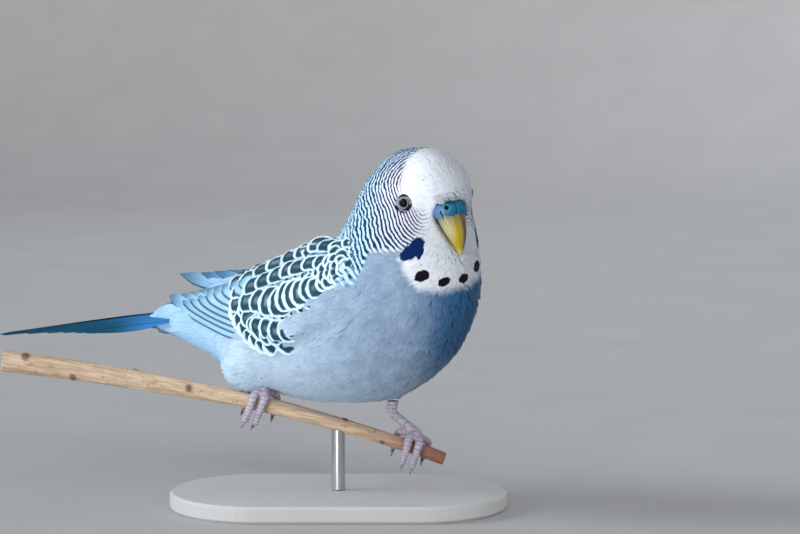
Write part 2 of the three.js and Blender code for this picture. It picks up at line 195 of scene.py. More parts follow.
FLOOR_RADIUS = 1.5
FLOOR_CURVE = (
    (0.01, 1.08), (0.04, 1.08), (0.08, 1.06), (0.13, 1.04), (0.18, 1.02), (0.20, 1.01),
)  # each step's rise and spread
bpy.ops.mesh.primitive_circle_add(vertices=96, radius=FLOOR_RADIUS)
floor = bpy.context.object
floor.name = "floor"
bpy.ops.object.mode_set(mode="EDIT")
for rise, spread in FLOOR_CURVE:
    bpy.ops.mesh.extrude_region_move(TRANSFORM_OT_translate={"value": (0, 0, rise)})
    bpy.ops.transform.resize(value=(spread, spread, 1))
bpy.ops.mesh.select_all(action="DESELECT")
bpy.ops.object.mode_set(mode="OBJECT")
for vertex in floor.data.vertices:
    vertex.select = vertex.co.z < 1e-6
bpy.ops.object.mode_set(mode="EDIT")
bpy.ops.mesh.edge_face_add()
bpy.ops.mesh.select_all(action="SELECT")
bpy.ops.mesh.normals_make_consistent(inside=True)
bpy.ops.object.mode_set(mode="OBJECT")
bpy.ops.object.shade_smooth()
sheet, shader, wire = finish_named("floor_sheet", Roughness=0.9)
grain = object_place(wire).noise(0.02, 3)
feed(shader, Base_Color=wire.tint(grain, (0.51, 0.505, 0.505), (0.58, 0.575, 0.575)))
floor.data.materials.append(sheet)

# Light. A cool lamp shines from the picture's left, two broad soft ones fill the side that the
# camera sees, a low one lifts the shade under the belly, and a pale sky fills the rest.
def in_picture(rightward, inward, height):
    """A place by how far it is rightward, inward and up in the picture."""
    place = rightwards * rightward + Vector((sight.x, sight.y, 0)) * inward
    place.z = height
    return place


def shining(way):
    """The turn that points a lamp along a way."""
    return way.to_track_quat("-Z", "Y").to_euler()


def soft_sun(name, place, power, spread, colour):
    """A far lamp that shines from a place's direction, soft over a spread of degrees."""
    bpy.ops.object.light_add(type="SUN", rotation=shining(-place))
    light = bpy.context.object
    light.name = name
    light.data.energy = power
    light.data.angle = math.radians(spread)
    light.data.color = colour


soft_sun("side", in_picture(-0.95, -0.02, 0.45), 1.7, 26, (0.88, 0.95, 1.0))
soft_sun("front", in_picture(-0.70, -0.70, 0.12), 0.4, 50, (1.0, 0.98, 0.95))
soft_sun("fill", in_picture(0.28, -0.92, 0.30), 1.15, 60, (1.0, 0.98, 0.96))
LOW_LAMP = in_picture(-0.20, -0.3614, 0.035)
LOW_LAMP_AIM = Vector((0, 0, 0.15))
bpy.ops.object.light_add(type="AREA", location=LOW_LAMP, rotation=shining(LOW_LAMP_AIM - LOW_LAMP))
low_lamp = bpy.context.object
low_lamp.name = "low_lamp"
low_lamp.data.size = 0.12
low_lamp.data.spread = math.radians(50)
low_lamp.data.energy = 0.25
low_lamp.data.color = (0.94, 0.97, 1.0)
SKY_COLOUR, SKY_STRENGTH = (0.88, 0.93, 1.0, 1), 0.42
world = bpy.data.worlds.new("sky")
world.use_nodes = True
world.node_tree.nodes["Background"].inputs["Color"].default_value = SKY_COLOUR
world.node_tree.nodes["Background"].inputs["Strength"].default_value = SKY_STRENGTH
bpy.context.scene.world = world

# Skin. One skin runs under all the plumage, from the bill's root over neck, trunk, folded wings
# and thighs to the tail's root. It lies inside the feather tips by the depth of the coat.
HEAD_TURN = math.radians(-13)
HEAD_TILT = math.radians(-5)
TORSO_DEPTH, HEAD_DEPTH, WING_DEPTH = 1.5, 0.9, 2.0
SKIN_VOXEL = 0.8
SWELL = 0.35  # closes the gaps between neighbours before they are joined
THIGH_DRAWN_IN = 3.6
FLESH = ("head", "neck", "trunk", "rump", "thigh_right", "thigh_left", "wing_right", "wing_left")
EYES = {"right": (6.8, -10.9, -0.3), "left": (6.8, 10.9, -0.3)}


def unit(v):
    """The same directions, each one unit long."""
    return v / np.maximum(np.linalg.norm(v, axis=-1, keepdims=True), 1e-9)


def ease(x, low, high):
    """0 below low, 1 above high, and smooth between, for numbers."""
    t = np.clip((x - low) / (high - low), 0, 1)
    return t * t * (3 - 2 * t)


def turn_with_head(v):
    """Turns a direction from the head's own frame into the model's."""
    x, y, z = v[..., 0], v[..., 1], v[..., 2]
    c, s = math.cos(HEAD_TILT), math.sin(HEAD_TILT)
    x, z = c * x + s * z, c * z - s * x
    c, s = math.cos(HEAD_TURN), math.sin(HEAD_TURN)
    return np.stack([c * x - s * y, s * x + c * y, z], -1)


def on_head(forward, left, up):
    """A point on the head by how far it is forward, left and up of the head's middle."""
    v = np.stack(np.broadcast_arrays(left, -np.asarray(forward, float), up), -1).astype(float)
    return np.array(HEAD_MIDDLE) + turn_with_head(v)


def head_frame(points):
    """How far forward, left and up of the head's middle each point is."""
    v = points - np.array(HEAD_MIDDLE)
    x, y, z = v[..., 0], v[..., 1], v[..., 2]
    c, s = math.cos(-HEAD_TURN), math.sin(-HEAD_TURN)
    x, y = c * x - s * y, s * x + c * y
    c, s = math.cos(-HEAD_TILT), math.sin(-HEAD_TILT)
    x, z = c * x + s * z, c * z - s * x
    return -y, x, z


def select_only(*pieces):
    bpy.ops.object.select_all(action="DESELECT")
    for piece in pieces:
        piece.select_set(True)
    bpy.context.view_layer.objects.active = pieces[0]


def twin_of(name, *names):
    """One closed copy of some of the frame's solids, to work on."""
    twins = []
    for node in names:
        twin = bpy.data.objects.new(name, nodes[node].data.copy())
        bpy.context.collection.objects.link(twin)
        twin.data.materials.clear()
        twins.append(twin)
    select_only(*twins)
    if len(twins) > 1:
        bpy.ops.object.join()
    bpy.ops.object.mode_set(mode="EDIT")
    bpy.ops.mesh.select_all(action="SELECT")
    bpy.ops.mesh.remove_doubles(threshold=0.01 * MM)
    bpy.ops.object.mode_set(mode="OBJECT")
    twins[0].name = name
    return twins[0]


def worked(piece, kind, **settings):
    """Gives a piece one modifier and applies it."""
    select_only(piece)
    modifier = piece.modifiers.new(kind.lower(), kind)
    for name, value in settings.items():
        setattr(modifier, name, value)
    bpy.ops.object.modifier_apply(modifier=modifier.name)


def rounded(piece, voxel, rounds):
    """Remakes a piece as one even closed surface and smooths it."""
    worked(piece, "REMESH", mode="VOXEL", voxel_size=voxel * MM, use_smooth_shade=True)
    worked(piece, "SMOOTH", factor=0.5, iterations=rounds)


def points_of(piece):
    """A piece's points, in millimetres."""
    flat = np.empty(len(piece.data.vertices) * 3)
    piece.data.vertices.foreach_get("co", flat)
    return flat.reshape(-1, 3) / MM


def normals_of(piece):
    flat = np.empty(len(piece.data.vertices) * 3)
    piece.data.vertex_normals.foreach_get("vector", flat)
    return flat.reshape(-1, 3)


def move_points(piece, points):
    piece.data.vertices.foreach_set("co", (points * MM).ravel())
    piece.data.update()


def triangles_of(piece):
    piece.data.calc_loop_triangles()
    flat = np.empty(len(piece.data.loop_triangles) * 3, np.int32)
    piece.data.loop_triangles.foreach_get("vertices", flat)
    return flat.reshape(-1, 3)


def tree_of(piece):
    return BVHTree.FromPolygons(points_of(piece).tolist(), triangles_of(piece).tolist())


def wing_gaps(points):
    """How far each point lies from the nearer wing."""
    return np.array([wing_tree.find_nearest(p)[3] for p in points.tolist()])


def eye_gaps(points):
    """How far each point lies from the middle of the nearer eye."""
    return np.minimum(*(np.linalg.norm(points - on_head(*e), axis=-1) for e in EYES.values()))


def face_gaps(points):
    """How far each point lies from the bill's root."""
    return np.linalg.norm(points - on_head(14, 0, -5), axis=-1)


def coat_depth(points):
    """How far the feather tips stand over the skin. It is least on the face."""
    up = head_frame(points)[2]
    depth = TORSO_DEPTH + (HEAD_DEPTH - TORSO_DEPTH) * ease(up, -24, -8)
    depth *= 0.4 + 0.6 * ease(np.minimum(eye_gaps(points) - 1.5, face_gaps(points) - 5), 0.5, 5)
    wing = 1 - ease(wing_gaps(points), 1.8, 4.5)
    return depth * (1 - wing) + WING_DEPTH * wing


wing_twin = twin_of("wing_twin", "wing_right", "wing_left")
wing_tree = tree_of(wing_twin)
bpy.data.objects.remove(wing_twin)
skin = twin_of("skin", *FLESH)
worked(skin, "DISPLACE", strength=SWELL * MM, mid_level=0)
rounded(skin, SKIN_VOXEL, 12)
inward = SWELL + coat_depth(points_of(skin))
move_points(skin, points_of(skin) - normals_of(skin) * inward[:, None])
worked(skin, "SMOOTH", factor=0.5, iterations=4)
# The thighs' rear sides are drawn in, and run smoothly on into the flanks.
points = points_of(skin)
aside, behind, height = np.abs(points[:, 0]), points[:, 1], points[:, 2]
behind_thigh = ease(behind, 18, 31) * ease(height, 31, 37) * (1 - ease(height, 46, 55)) * ease(aside, 9, 15)
points[:, 1] = behind - THIGH_DRAWN_IN * behind_thigh
move_points(skin, points)
flank = skin.vertex_groups.new(name="flank")
rear = ease(points[:, 1], 0, 10) * (1 - ease(points[:, 1], 40, 52)) * ease(height, 33, 37)
rear *= (1 - ease(height, 50, 60)) * ease(aside, 7, 12)
for i in np.nonzero(rear > 0.05)[0].tolist():
    flank.add([i], rear[i], "REPLACE")
worked(skin, "SMOOTH", factor=0.6, iterations=90, vertex_group="flank")
skin.data.uv_layers.new(name="OFBake")
select_only(skin)
bpy.ops.object.mode_set(mode="EDIT")
bpy.ops.mesh.select_all(action="SELECT")
bpy.ops.uv.smart_project(angle_limit=math.radians(66), island_margin=0.002)
bpy.ops.object.mode_set(mode="OBJECT")
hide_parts(*FLESH)
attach(skin, "root")

# Plumage colour. Skin and small feathers share it: white cap, mask and throat with black spots
# and a violet cheek patch, fine black bars behind them, and blue from the breast down.
WHITE = (0.66, 0.69, 0.74)
BREAST = (0.17, 0.24, 0.34)
# The next colour is partly the breast front's own deeper blue and partly painted shade.
BREAST_MIDDLE_SHADE = (0.03, 0.11, 0.24)
BELLY = (0.52, 0.66, 0.80)
VENT = (0.38, 0.63, 0.88)
CHEEK_BAR, CHEEK_GROUND = (0.022, 0.014, 0.035), (0.58, 0.58, 0.70)
NAPE_BAR, NAPE_GROUND = (0.008, 0.025, 0.06), (0.42, 0.66, 0.87)
PATCH = (0.001, 0.014, 0.088)
SPOT = (0.004, 0.004, 0.010)
SPOTS = ((9.9, -20.6, 2.0, 1.7), (3.4, -22.9, 2.0, 1.35))  # aside, up, half width, half height
SPOT_FRONT = (4, 6)  # cheek patch and spots fade in between these distances forward
BARS, CROWN_BARS_FEWER, BAR_SPREAD = 23, 4, 14.25
THROAT_HEM = -25.4
SKIN_TONE = 0.3


def in_head_frame(place):
    """The same place measured from the head's middle, along the head's own axes."""
    sockets = {"Vector": place, "Location": HEAD_MIDDLE, "Rotation": (0, HEAD_TILT, HEAD_TURN)}
    return place.node("Mapping", {"vector_type": "TEXTURE"}, sockets)


def kept(wire, name, output="Fac"):
    """What a piece keeps under a name at each of its points."""
    return wire.node("Attribute", {"attribute_name": name}, {}, output)


def keep(piece, name, values):
    """Keeps one number at each of a piece's points, for its material to read."""
    piece.data.attributes.new(name, "FLOAT", "POINT").data.foreach_set("value", values)


def marked(wire):
    """The colour at a place on the body."""
    place = object_place(wire)
    x, y, up = in_head_frame(place).parts()
    forward = y * -1
    _, behind, height = place.parts()
    aside = abs(x)
    waver = (place.noise(0.35, 1) - 0.5) * 1.6
    fine = place.noise(1.6, 1) - 0.5
    # Blue of the body: greyer on the breast, clearer and paler towards the vent.
    soft = place.noise(0.22, 3)
    paler = behind.step(-34, 26) * 0.75 + (1 - height.step(25, 62)) * 0.25 + soft * 0.4 - 0.1
    blue = wire.tint(paler, BREAST, BELLY)
    blue = wire.tint(behind.step(12, 50), blue, VENT)
    # The breast's front is painted a deeper blue: partly its own colour, partly painted shade where it turns
    # from the lamps.
    middle = (1 - (aside + waver).step(4, 19)) * (1 - behind.step(-43, -27))
    blue = wire.tint(middle, blue, BREAST_MIDDLE_SHADE)
    # Bars, as rings round the front of the cheek below the eye and the front of the crown.
    lift = up.step(-6, 6)
    sockets = {"X": aside - 8.8 - lift * 1.0, "Y": forward - 12.6 + lift * 2.0, "Z": up + 3.4 - lift * 8.1}
    ring = wire.node("CombineXYZ", {}, sockets)
    reach = ring.node("VectorMath", {"operation": "LENGTH"}, {0: ring}, 1)
    share = reach.step(3, 24)
    turns = wire.sum("LOGARITHM", reach / BAR_SPREAD + 1, math.e) * (BARS - lift * CROWN_BARS_FEWER)
    swing = ((turns + waver * (share * 0.5 + 0.35) + fine * 0.3) * (2 * math.pi)).wave()
    bars = (swing - 0.16 + share * 0.3 + up.step(3, 9) * 0.25).step(-0.4, 0.4)
    broken = place.noise(0.6, 2).step(0.40, 0.50)
    bars = bars * (1 - reach.step(20, 36) * broken * 0.8)
    front = 6.1 + (1 - up.step(-3, 1)) * 4.9 + waver * 0.6 - (up - 6).above(0) * 0.3
    behind_front = 1 - (forward - front + fine * 2.4).step(-1.8, 1.0)
    floor_line = -13.3 - (0.5 - forward).above(0) * 2.6
    over = (up - floor_line + waver + fine * 1.5).step(-1.4, 1.2)
    nape = (1 - (behind + waver).step(0, 4)) * (height + waver * 2).step(67, 70)
    barred = behind_front * over * nape
    ground = wire.tint(share, CHEEK_GROUND, NAPE_GROUND)
    barring = wire.tint(bars, ground, wire.tint(share, CHEEK_BAR, NAPE_BAR))
    # White of the cap, mask and throat.
    neck_aside = abs(x + (up * -1 - 9).above(0) * 0.35 + (up.step(-12, -8) - 1) * 1.4)
    hem = THROAT_HEM + ((neck_aside - 2) * 0.12) ** 2
    side = forward - 8.6 - (-15.8 - up).above(0) * 0.5
    mask = (up - hem + waver * 0.8 + fine).step(-1.9, 1.9) * (side + waver * 0.5 + fine).step(-1.0, 0.8)
    white = mask.above((up + 13.4).step(-0.6, 0.6))
    colour = wire.tint(white, blue, WHITE)
    colour = wire.tint(barred, colour, barring)
    # The cheek patch and the throat spots.
    flat = wire.node("CombineXYZ", {}, {"X": neck_aside + waver * 0.4, "Y": up + fine * 0.9, "Z": 0.0})
    sockets = {"Vector": flat, "Location": (12.7, -13.2, 0), "Rotation": (0, 0, math.radians(-50))}
    lean = wire.node("Mapping", {"vector_type": "TEXTURE"}, sockets)
    patch = 1 - lean.away((0, 0, 0), 1 / 3.9, 1 / 1.9, 1).step(0.86, 1.05)
    lobe = 1 - flat.away((11.3, -13.2, 0), 1 / 1.1, 1 / 3.1, 1).step(0.85, 1.05)
    colour = wire.tint(patch.above(lobe) * forward.step(*SPOT_FRONT), colour, PATCH)
    for spot_aside, spot_up, half_width, half_height in SPOTS:
        spot = flat.away((spot_aside, spot_up, 0), 1 / half_width, 1 / half_height, 1)
        colour = wire.tint((1 - spot.step(0.85, 1.05)) * forward.step(*SPOT_FRONT), colour, SPOT)
    return colour


plumage, shader, wire = finish_named(
    "plumage", Roughness=0.75, Sheen_Weight=0.06, Sheen_Roughness=0.5, Specular_IOR_Level=0.08,
)
tone = kept(wire, "Tone")
vane = wire.node("UVMap", {"uv_map": "Vane"}, {})
v_share = vane.parts()[1]
barb = vane.stretched(4.6, 0.8, 0).noise(1.0, 3, 0.7)
value = tone * 0.14 + barb.above(0.4) * 1.2 + v_share * 0.12 + 0.25
shaded = wire.node("HueSaturation", {}, {"Value": value, "Color": marked(wire)})
feed(shader, Base_Color=shaded, Normal=barb.bumped(0.1 * MM, 0.25))
skin.data.materials.append(plumage)
keep(skin, "Tone", np.full(len(skin.data.vertices), SKIN_TONE))

# Eyes. A dark wet ball sits deep in the head, with a thin pale iris at its rim, behind a bare
# ring of beaded grey skin that narrows towards the front.
EYE_RADIUS = 2.5
EYE_CORNER = -0.75  # the way to the front corner, down from level
EYE_OUTWARD = (0.5, 1.0, -0.02)  # forward, aside and up of the way the eye looks
LID_PROFILE = (
    (2.95, 0.1), (2.5, 0.6), (2.2, 1.02), (2.02, 1.38), (1.87, 1.7), (1.77, 1.9), (1.68, 1.98), (1.6, 1.96),
    (1.54, 1.88), (1.56, 1.78), (1.72, 1.6),
)  # distance from the eye's axis, and along it
LID_RIM = (1.85, 2.2)
LID_BEADS = 26
CORNEA_RADIUS, CORNEA_BULGE = 1.6, 0.22


def turned_about(profile, middle, axis, angle, oval):
    """A ring turned from a profile about an axis: its points as rows round the ring."""
    forward = unit(np.cross((0, 0, 1.0), axis))
    above = unit(np.cross(axis, forward))
    around = np.cos(angle)[:, None] * forward + np.sin(angle)[:, None] * above
    radius, along = np.array(profile).T
    radius = radius[None] * oval[:, None]
    return middle + around[:, None] * radius[..., None] + axis * along[None, :, None]


def skin_of_rows(name, points):
    """One piece over rows of points that run round and close on themselves."""
    rows, columns = points.shape[:2]
    grid = np.arange(rows * columns).reshape(rows, columns)
    grid = np.vstack([grid, grid[:1]])
    corners = (grid[:-1, :-1], grid[1:, :-1], grid[1:, 1:], grid[:-1, 1:])
    mesh = bpy.data.meshes.new(name)
    mesh.from_pydata((points.reshape(-1, 3) * MM).tolist(), [], np.stack(corners, -1).reshape(-1, 4).tolist())
    piece = bpy.data.objects.new(name, mesh)
    bpy.context.collection.objects.link(piece)
    select_only(piece)
    bpy.ops.object.shade_smooth()
    return piece


eyeball, shader, wire = finish_named("eyeball", Roughness=0.06, Specular_IOR_Level=0.1)
iris = kept(wire, "FromAxis").inside(1.3, 1.44, 0.04)
feed(shader, Base_Color=wire.tint(iris, (0.004, 0.004, 0.007), (0.30, 0.32, 0.34)))
lid_skin, shader, wire = finish_named("lid_skin", Roughness=0.8, Specular_IOR_Level=0.1)
place = object_place(wire)
colour = wire.tint(place.noise(2.5, 3).step(0.3, 0.7), (0.15, 0.16, 0.20), (0.37, 0.39, 0.44))
colour = wire.tint(kept(wire, "FromAxis").step(*LID_RIM), colour, (0.30, 0.33, 0.40))
colour = wire.tint(kept(wire, "Corner"), colour, (0.07, 0.012, 0.02))
feed(shader, Base_Color=colour, Normal=place.noise(9, 2).bumped(0.05 * MM, 0.6))
for side, place in EYES.items():
    middle = on_head(*place)
    aside = 1 if side == "left" else -1
    axis = unit(turn_with_head(np.array((aside * EYE_OUTWARD[1], -EYE_OUTWARD[0], EYE_OUTWARD[2]))))
    bpy.ops.mesh.primitive_uv_sphere_add(segments=48, ring_count=32, radius=EYE_RADIUS * MM)
    ball = bpy.context.object
    ball.name = "eyeball_" + side
    points = points_of(ball)
    along = points @ axis
    off = np.linalg.norm(points - along[:, None] * axis, axis=1)
    ahead = (along > 0)[:, None]
    points = points + axis * (CORNEA_BULGE * np.clip(1 - off / CORNEA_RADIUS, 0, 1) ** 2)[:, None] * ahead
    move_points(ball, points + middle)
    keep(ball, "FromAxis", np.where(along > 0, off, EYE_RADIUS))
    bpy.ops.object.shade_smooth()
    ball.data.materials.append(eyeball)
    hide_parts("eye_" + side)
    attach(ball, "root")
    angle = np.linspace(0, 2 * math.pi, LID_BEADS * 4, endpoint=False)
    oval = 1 + 0.05 * np.cos(angle * 2 - 0.5) + 0.02 * np.cos(angle * LID_BEADS)
    lid = skin_of_rows("lid_" + side, turned_about(LID_PROFILE, middle, axis, angle, oval))
    towards = EYE_CORNER if side == "right" else math.pi - EYE_CORNER
    in_corner = ease(np.cos(angle - towards), 0.72, 0.92)
    radius = np.array(LID_PROFILE)[:, 0]
    keep(lid, "FromAxis", np.tile(radius, len(angle)))
    keep(lid, "Corner", np.outer(in_corner, 1 - ease(radius, *LID_RIM)).ravel())
    lid.data.materials.append(lid_skin)
    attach(lid, "root")

# Cere. A swollen saddle of waxy skin over the bill's root, with a round nostril through each
# lobe. The side lobes are slate blue, the middle is a deep teal and the lower rim is pale.
NOSTRILS = ((15.2, -3.45, -2.55), (16.4, 1.75, -2.15))  # forward, left and up of the head's middle
NOSTRIL_RADIUS = 0.65
CERE_DROP, CERE_REACH, CERE_FLOOR = 1.2, 0.5, -5.4
cere = twin_of("cere_wax", "cere")
rounded(cere, 0.16, 14)
# The side lobes rise at the top, and their lower ends close up against the bill.
forward, left, up = head_frame(points_of(cere))
aside = np.abs(left)
lobe = ease(aside, 2.2, 4.8)
up = up - CERE_DROP + 1.5 * lobe * ease(up, -5.5, -1.5)
forward = forward + CERE_REACH + 1.7 * ease(aside, 4.2, 5.2) * (1 - ease(up, -6.5, -4))
inward = 0.85 * ease(aside, 4.2, 5.0) * (1 - ease(up, -5.0, -3.6))
below = np.maximum(CERE_FLOOR - up, 0)
points = on_head(forward, left * (1 + 0.08 * lobe) - np.sign(left) * inward, up + below * 0.75)
# Round nostrils are sunk in it, its upper edge under the brow, and a crease down its middle.
out = normals_of(cere)
forward, left, up = head_frame(points)
for spot in NOSTRILS:
    gap = np.linalg.norm(points - on_head(*spot), axis=1)
    rim = np.exp(-(((gap - 1.0) / 0.3) ** 2)) * 0.12
    pit = (1 - ease(gap, NOSTRIL_RADIUS * 0.55, NOSTRIL_RADIUS * 1.35)) * -0.95
    points = points + out * (rim + pit)[:, None]
sunk = ease(up + 0.16 * np.abs(left), -1.4, 0.2) * ease(forward, 11, 13)
points = points + unit(on_head(10, 0, -3) - points) * (sunk * 0.9)[:, None]
crease = np.exp(-(((left + 0.9) / 0.35) ** 2)) * ease(forward, 12, 15) * -0.3
move_points(cere, points + out * crease[:, None])
wax, shader, wire = finish_named("cere_wax", Roughness=0.5, Coat_Weight=0.08, Specular_IOR_Level=0.25)
place = object_place(wire)
turned = in_head_frame(place)
x, _, up = turned.parts()
cloud = place.noise(1.1, 2) - 0.5
lobes = (abs(x + 0.6) + cloud * 1.6).step(1.8, 4.6)
colour = wire.tint(lobes, (0.002, 0.105, 0.23), (0.085, 0.165, 0.33))
holes = [turned.away((spot[1], -spot[0], spot[2])) for spot in NOSTRILS]
hole = holes[0].below(holes[1])
colour = wire.tint(1 - hole.step(1.0, 1.9), colour, (0.02, 0.19, 0.27))
rim = (up * -1 - 4.15 - abs(x) * 0.25 + cloud * 0.4).step(0.0, 0.5)
colour = wire.tint(rim, colour, (0.42, 0.52, 0.72))
# The nostrils' middles are painted near black: painted shade deep in the holes.
colour = wire.tint(1 - hole.step(0.5, 0.85), colour, (0.004, 0.006, 0.012))
feed(shader, Base_Color=colour, Normal=place.noise(4, 3).bumped(0.08 * MM, 0.5))
cere.data.materials.append(wax)
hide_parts("cere")
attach(cere, "root")

# Bill. A strongly hooked upper bill of horn closes over the short lower one. It is olive at the
# root and sides and clear yellow along the ridge, with faint growth lines round it.
horn, shader, wire = finish_named("bill_horn", Coat_Weight=0.1, Specular_IOR_Level=0.3)
turned = in_head_frame(object_place(wire))
x, y, up = turned.parts()
grainy = turned.stretched(2.2, 0.5, 0.35).noise(1.2, 3)
ridge = 1 - abs(x + 1.1).step(0.2, 2.4)
colour = wire.tint(ridge + grainy * 0.5 - 0.25, (0.40, 0.365, 0.20), (0.36, 0.25, 0.003))
# The bill's far side, turned from the lamps, is painted dark: painted shade.
far_side_shade = x.step(-0.7, 1.0)
colour = wire.tint(far_side_shade * 0.92, colour, (0.085, 0.048, 0.001))
colour = wire.tint((up + 7.5).step(-1.2, 3.0) * 0.8, colour, (0.17, 0.16, 0.085))
colour = wire.tint(1 - (up + 14.6).step(-1.5, 1.2), colour, (0.46, 0.40, 0.12))
lines = ((up * 1.1 + y * 0.5 + grainy * 2) * (2 * math.pi / 0.9)).wave()
feed(
    shader,
    Base_Color=colour,
    Roughness=grainy * 0.25 + 0.22,
    Normal=(lines * 0.35 + grainy).bumped(0.05 * MM, 0.5),
)
BILL_WIDTH, BILL_ROOT_WIDER = 0.86, 0.1
for node in ("bill_upper", "bill_lower"):
    bill = twin_of(node + "_horn", node)
    rounded(bill, 0.2, 8)
    forward, left, up = head_frame(points_of(bill))
    move_points(bill, on_head(forward, left * (BILL_WIDTH + BILL_ROOT_WIDER * ease(up, -9, -5)), up))
    bill.data.materials.append(horn)
    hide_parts(node)
    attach(bill, "root")

# Wings. Black coverts with white edges lie nested in files from the shoulder to the rear rim,
# over one another and over the pale blue quills. Each is a thin vane rooted in the wing's skin.
skin_points = points_of(skin)
skin_triangles = triangles_of(skin)
skin_tree = tree_of(skin)
skin_normals = unit(normals_of(skin)[skin_triangles].mean(1))
skin_corners = skin_points[skin_triangles]
skin_middles = skin_corners.mean(1)
skin_loops = np.empty(len(skin.data.loop_triangles) * 3, np.int32)
skin.data.loop_triangles.foreach_get("loops", skin_loops)
bake_spots = np.empty(len(skin.data.loops) * 2)
skin.data.uv_layers["OFBake"].data.foreach_get("uv", bake_spots)
bake_spots = bake_spots.reshape(-1, 2)[skin_loops.reshape(-1, 3)].mean(1)
BAKE_PATCH = 0.003
FACE_POINT = on_head(14, 0, -4.5)  # the small feathers point away from here
TRIES = 4  # places drawn for each root that is wanted
FACE_OVER_SKIN = 0.7  # the wing's face stands at least this far over the skin
FAR_ASIDE, HIGH_ABOVE = 60, 150  # clear of the whole bird


def scattered(spacing, seed):
    """Roots spread evenly over the skin: their places and the skin triangles they are on."""
    draw = np.random.default_rng(seed)
    first, second, third = np.moveaxis(skin_corners, 1, 0)
    area = np.linalg.norm(np.cross(second - first, third - first), axis=1) / 2
    weight = np.where(spacing > 0, area / np.maximum(spacing, 0.1) ** 2, 0)
    count = int(weight.sum() * TRIES)
    chosen = draw.choice(len(weight), count, p=weight / weight.sum())
    a, b = draw.random((2, count, 1))
    a, b = np.where(a + b > 1, 1 - a, a), np.where(a + b > 1, 1 - b, b)
    first, second, third = np.moveaxis(skin_corners[chosen], 1, 0)
    places = first + a * (second - first) + b * (third - first)
    near = kdtree.KDTree(count)
    for i, place in enumerate(places.tolist()):
        near.insert(place, i)
    near.balance()
    free = np.ones(count, bool)
    rooted = []
    for i, place in enumerate(places.tolist()):
        if free[i]:
            rooted.append(i)
            for _, j, _ in near.find_range(place, spacing[chosen[i]]):
                free[j] = False
    return places[rooted], chosen[rooted]


def lie_of_coat(points):
    """The way that feathers point: away from the bill, and more plainly backwards further back."""
    away = unit(points - FACE_POINT)
    back = ease(points[..., 1], -25, 25)[..., None] * 0.8
    return unit(away + back * np.array((0, 1, -0.05)))


def along_skin(roots, lengths, shares, stray):
    """Points on the skin along each shaft, and which way is outwards there."""
    places, outs = [], []
    here = roots
    before = 0
    for share in shares:
        heading = unit(lie_of_coat(here) + stray)
        if outs:
            heading = unit(heading - (heading * outs[-1]).sum(1, keepdims=True) * outs[-1])
        here = here + heading * (lengths * (share - before))[:, None]
        found = [skin_tree.find_nearest(p) for p in here.tolist()]
        here = np.array([f[0][:] for f in found])
        out = skin_normals[[f[2] for f in found]]
        places.append(here)
        outs.append(out)
        before = share
    return np.stack(places, 1), np.stack(outs, 1)


def straight_shafts(starts, headings, lengths, shares):
    """Points along each straight shaft, at shares of its length from its start."""
    return starts[:, None] + headings[:, None] * (shares * lengths[:, None])[..., None]


def frayed_tips(draw, amount, count, shares, columns):
    """How far the points near each vane's tip stray along it."""
    return draw.normal(0, amount, (count, len(shares), columns)) * (shares > 0.8)[None, :, None]


def vanes(name, shafts, outs, half_widths, columns, drop, shares, tones, bakes, frayed=None, sleek=0.5):
    """One piece of many vanes, from each one's points along its shaft. The sleeker the coat, the
    more its shading follows the body under it."""
    count, stations = shafts.shape[:2]
    across = np.linspace(-1, 1, columns)
    run = np.gradient(shafts, axis=1)
    aside = unit(np.cross(outs, run))
    points = shafts[:, :, None] + aside[:, :, None] * (half_widths[..., None] * across)[..., None]
    points = points - outs[:, :, None] * (drop * half_widths[..., None] * across ** 2)[..., None]
    if frayed is not None:
        points = points + unit(run)[:, :, None] * frayed[..., None]
    grid = np.arange(count * stations * columns).reshape(count, stations, columns)
    corners = (grid[:, :-1, :-1], grid[:, 1:, :-1], grid[:, 1:, 1:], grid[:, :-1, 1:])
    faces = np.stack(corners, -1).reshape(-1, 4)
    mesh = bpy.data.meshes.new(name)
    mesh.from_pydata((points.reshape(-1, 3) * MM).tolist(), [], faces.tolist())
    u = np.broadcast_to((across + 1) / 2, (count, stations, columns))
    v = np.broadcast_to(shares[None, :, None], (count, stations, columns))
    vane = np.stack([u, v], -1).reshape(-1, 2)
    patch = np.repeat(bakes, stations * columns, 0) + (vane - 0.5) * BAKE_PATCH
    loops = faces.ravel()
    mesh.uv_layers.new(name="OFBake").data.foreach_set("uv", patch[loops].ravel())
    mesh.uv_layers.new(name="Vane").data.foreach_set("uv", vane[loops].ravel())
    mesh.polygons.foreach_set("use_smooth", np.ones(len(faces), bool))
    bent = unit(np.cross(run, aside))[:, :, None] + aside[:, :, None] * (2 * drop * across)[:, None]
    facing = unit(unit(bent) * (1 - sleek) + outs[:, :, None] * sleek)
    mesh.normals_split_custom_set_from_vertices(facing.reshape(-1, 3).tolist())
    piece = bpy.data.objects.new(name, mesh)
    bpy.context.collection.objects.link(piece)
    keep(piece, "Tone", np.repeat(tones, stations * columns))
    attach(piece, "root")
    return piece


SHOULDER = np.array((18.5, 74.0))  # forward and up
WING_STEP = 1.0
WING_CORNER, WING_SPAN = np.array((-72.0, 38.0)), np.array((100, 56))
TIP_LIFT = 6.3  # the left wing's tip is crossed over the right one's
COVERT_SHARES = np.array((0, 0.2, 0.4, 0.55, 0.68, 0.79, 0.88, 0.95, 1.0))
COVERT_COLUMNS = 9


def with_neighbours(heights):
    """Each height and the eight round it."""
    padded = np.pad(heights, 1, mode="edge")
    rows, columns = heights.shape
    return np.stack([padded[a:a + rows, b:b + columns] for a in range(3) for b in range(3)])


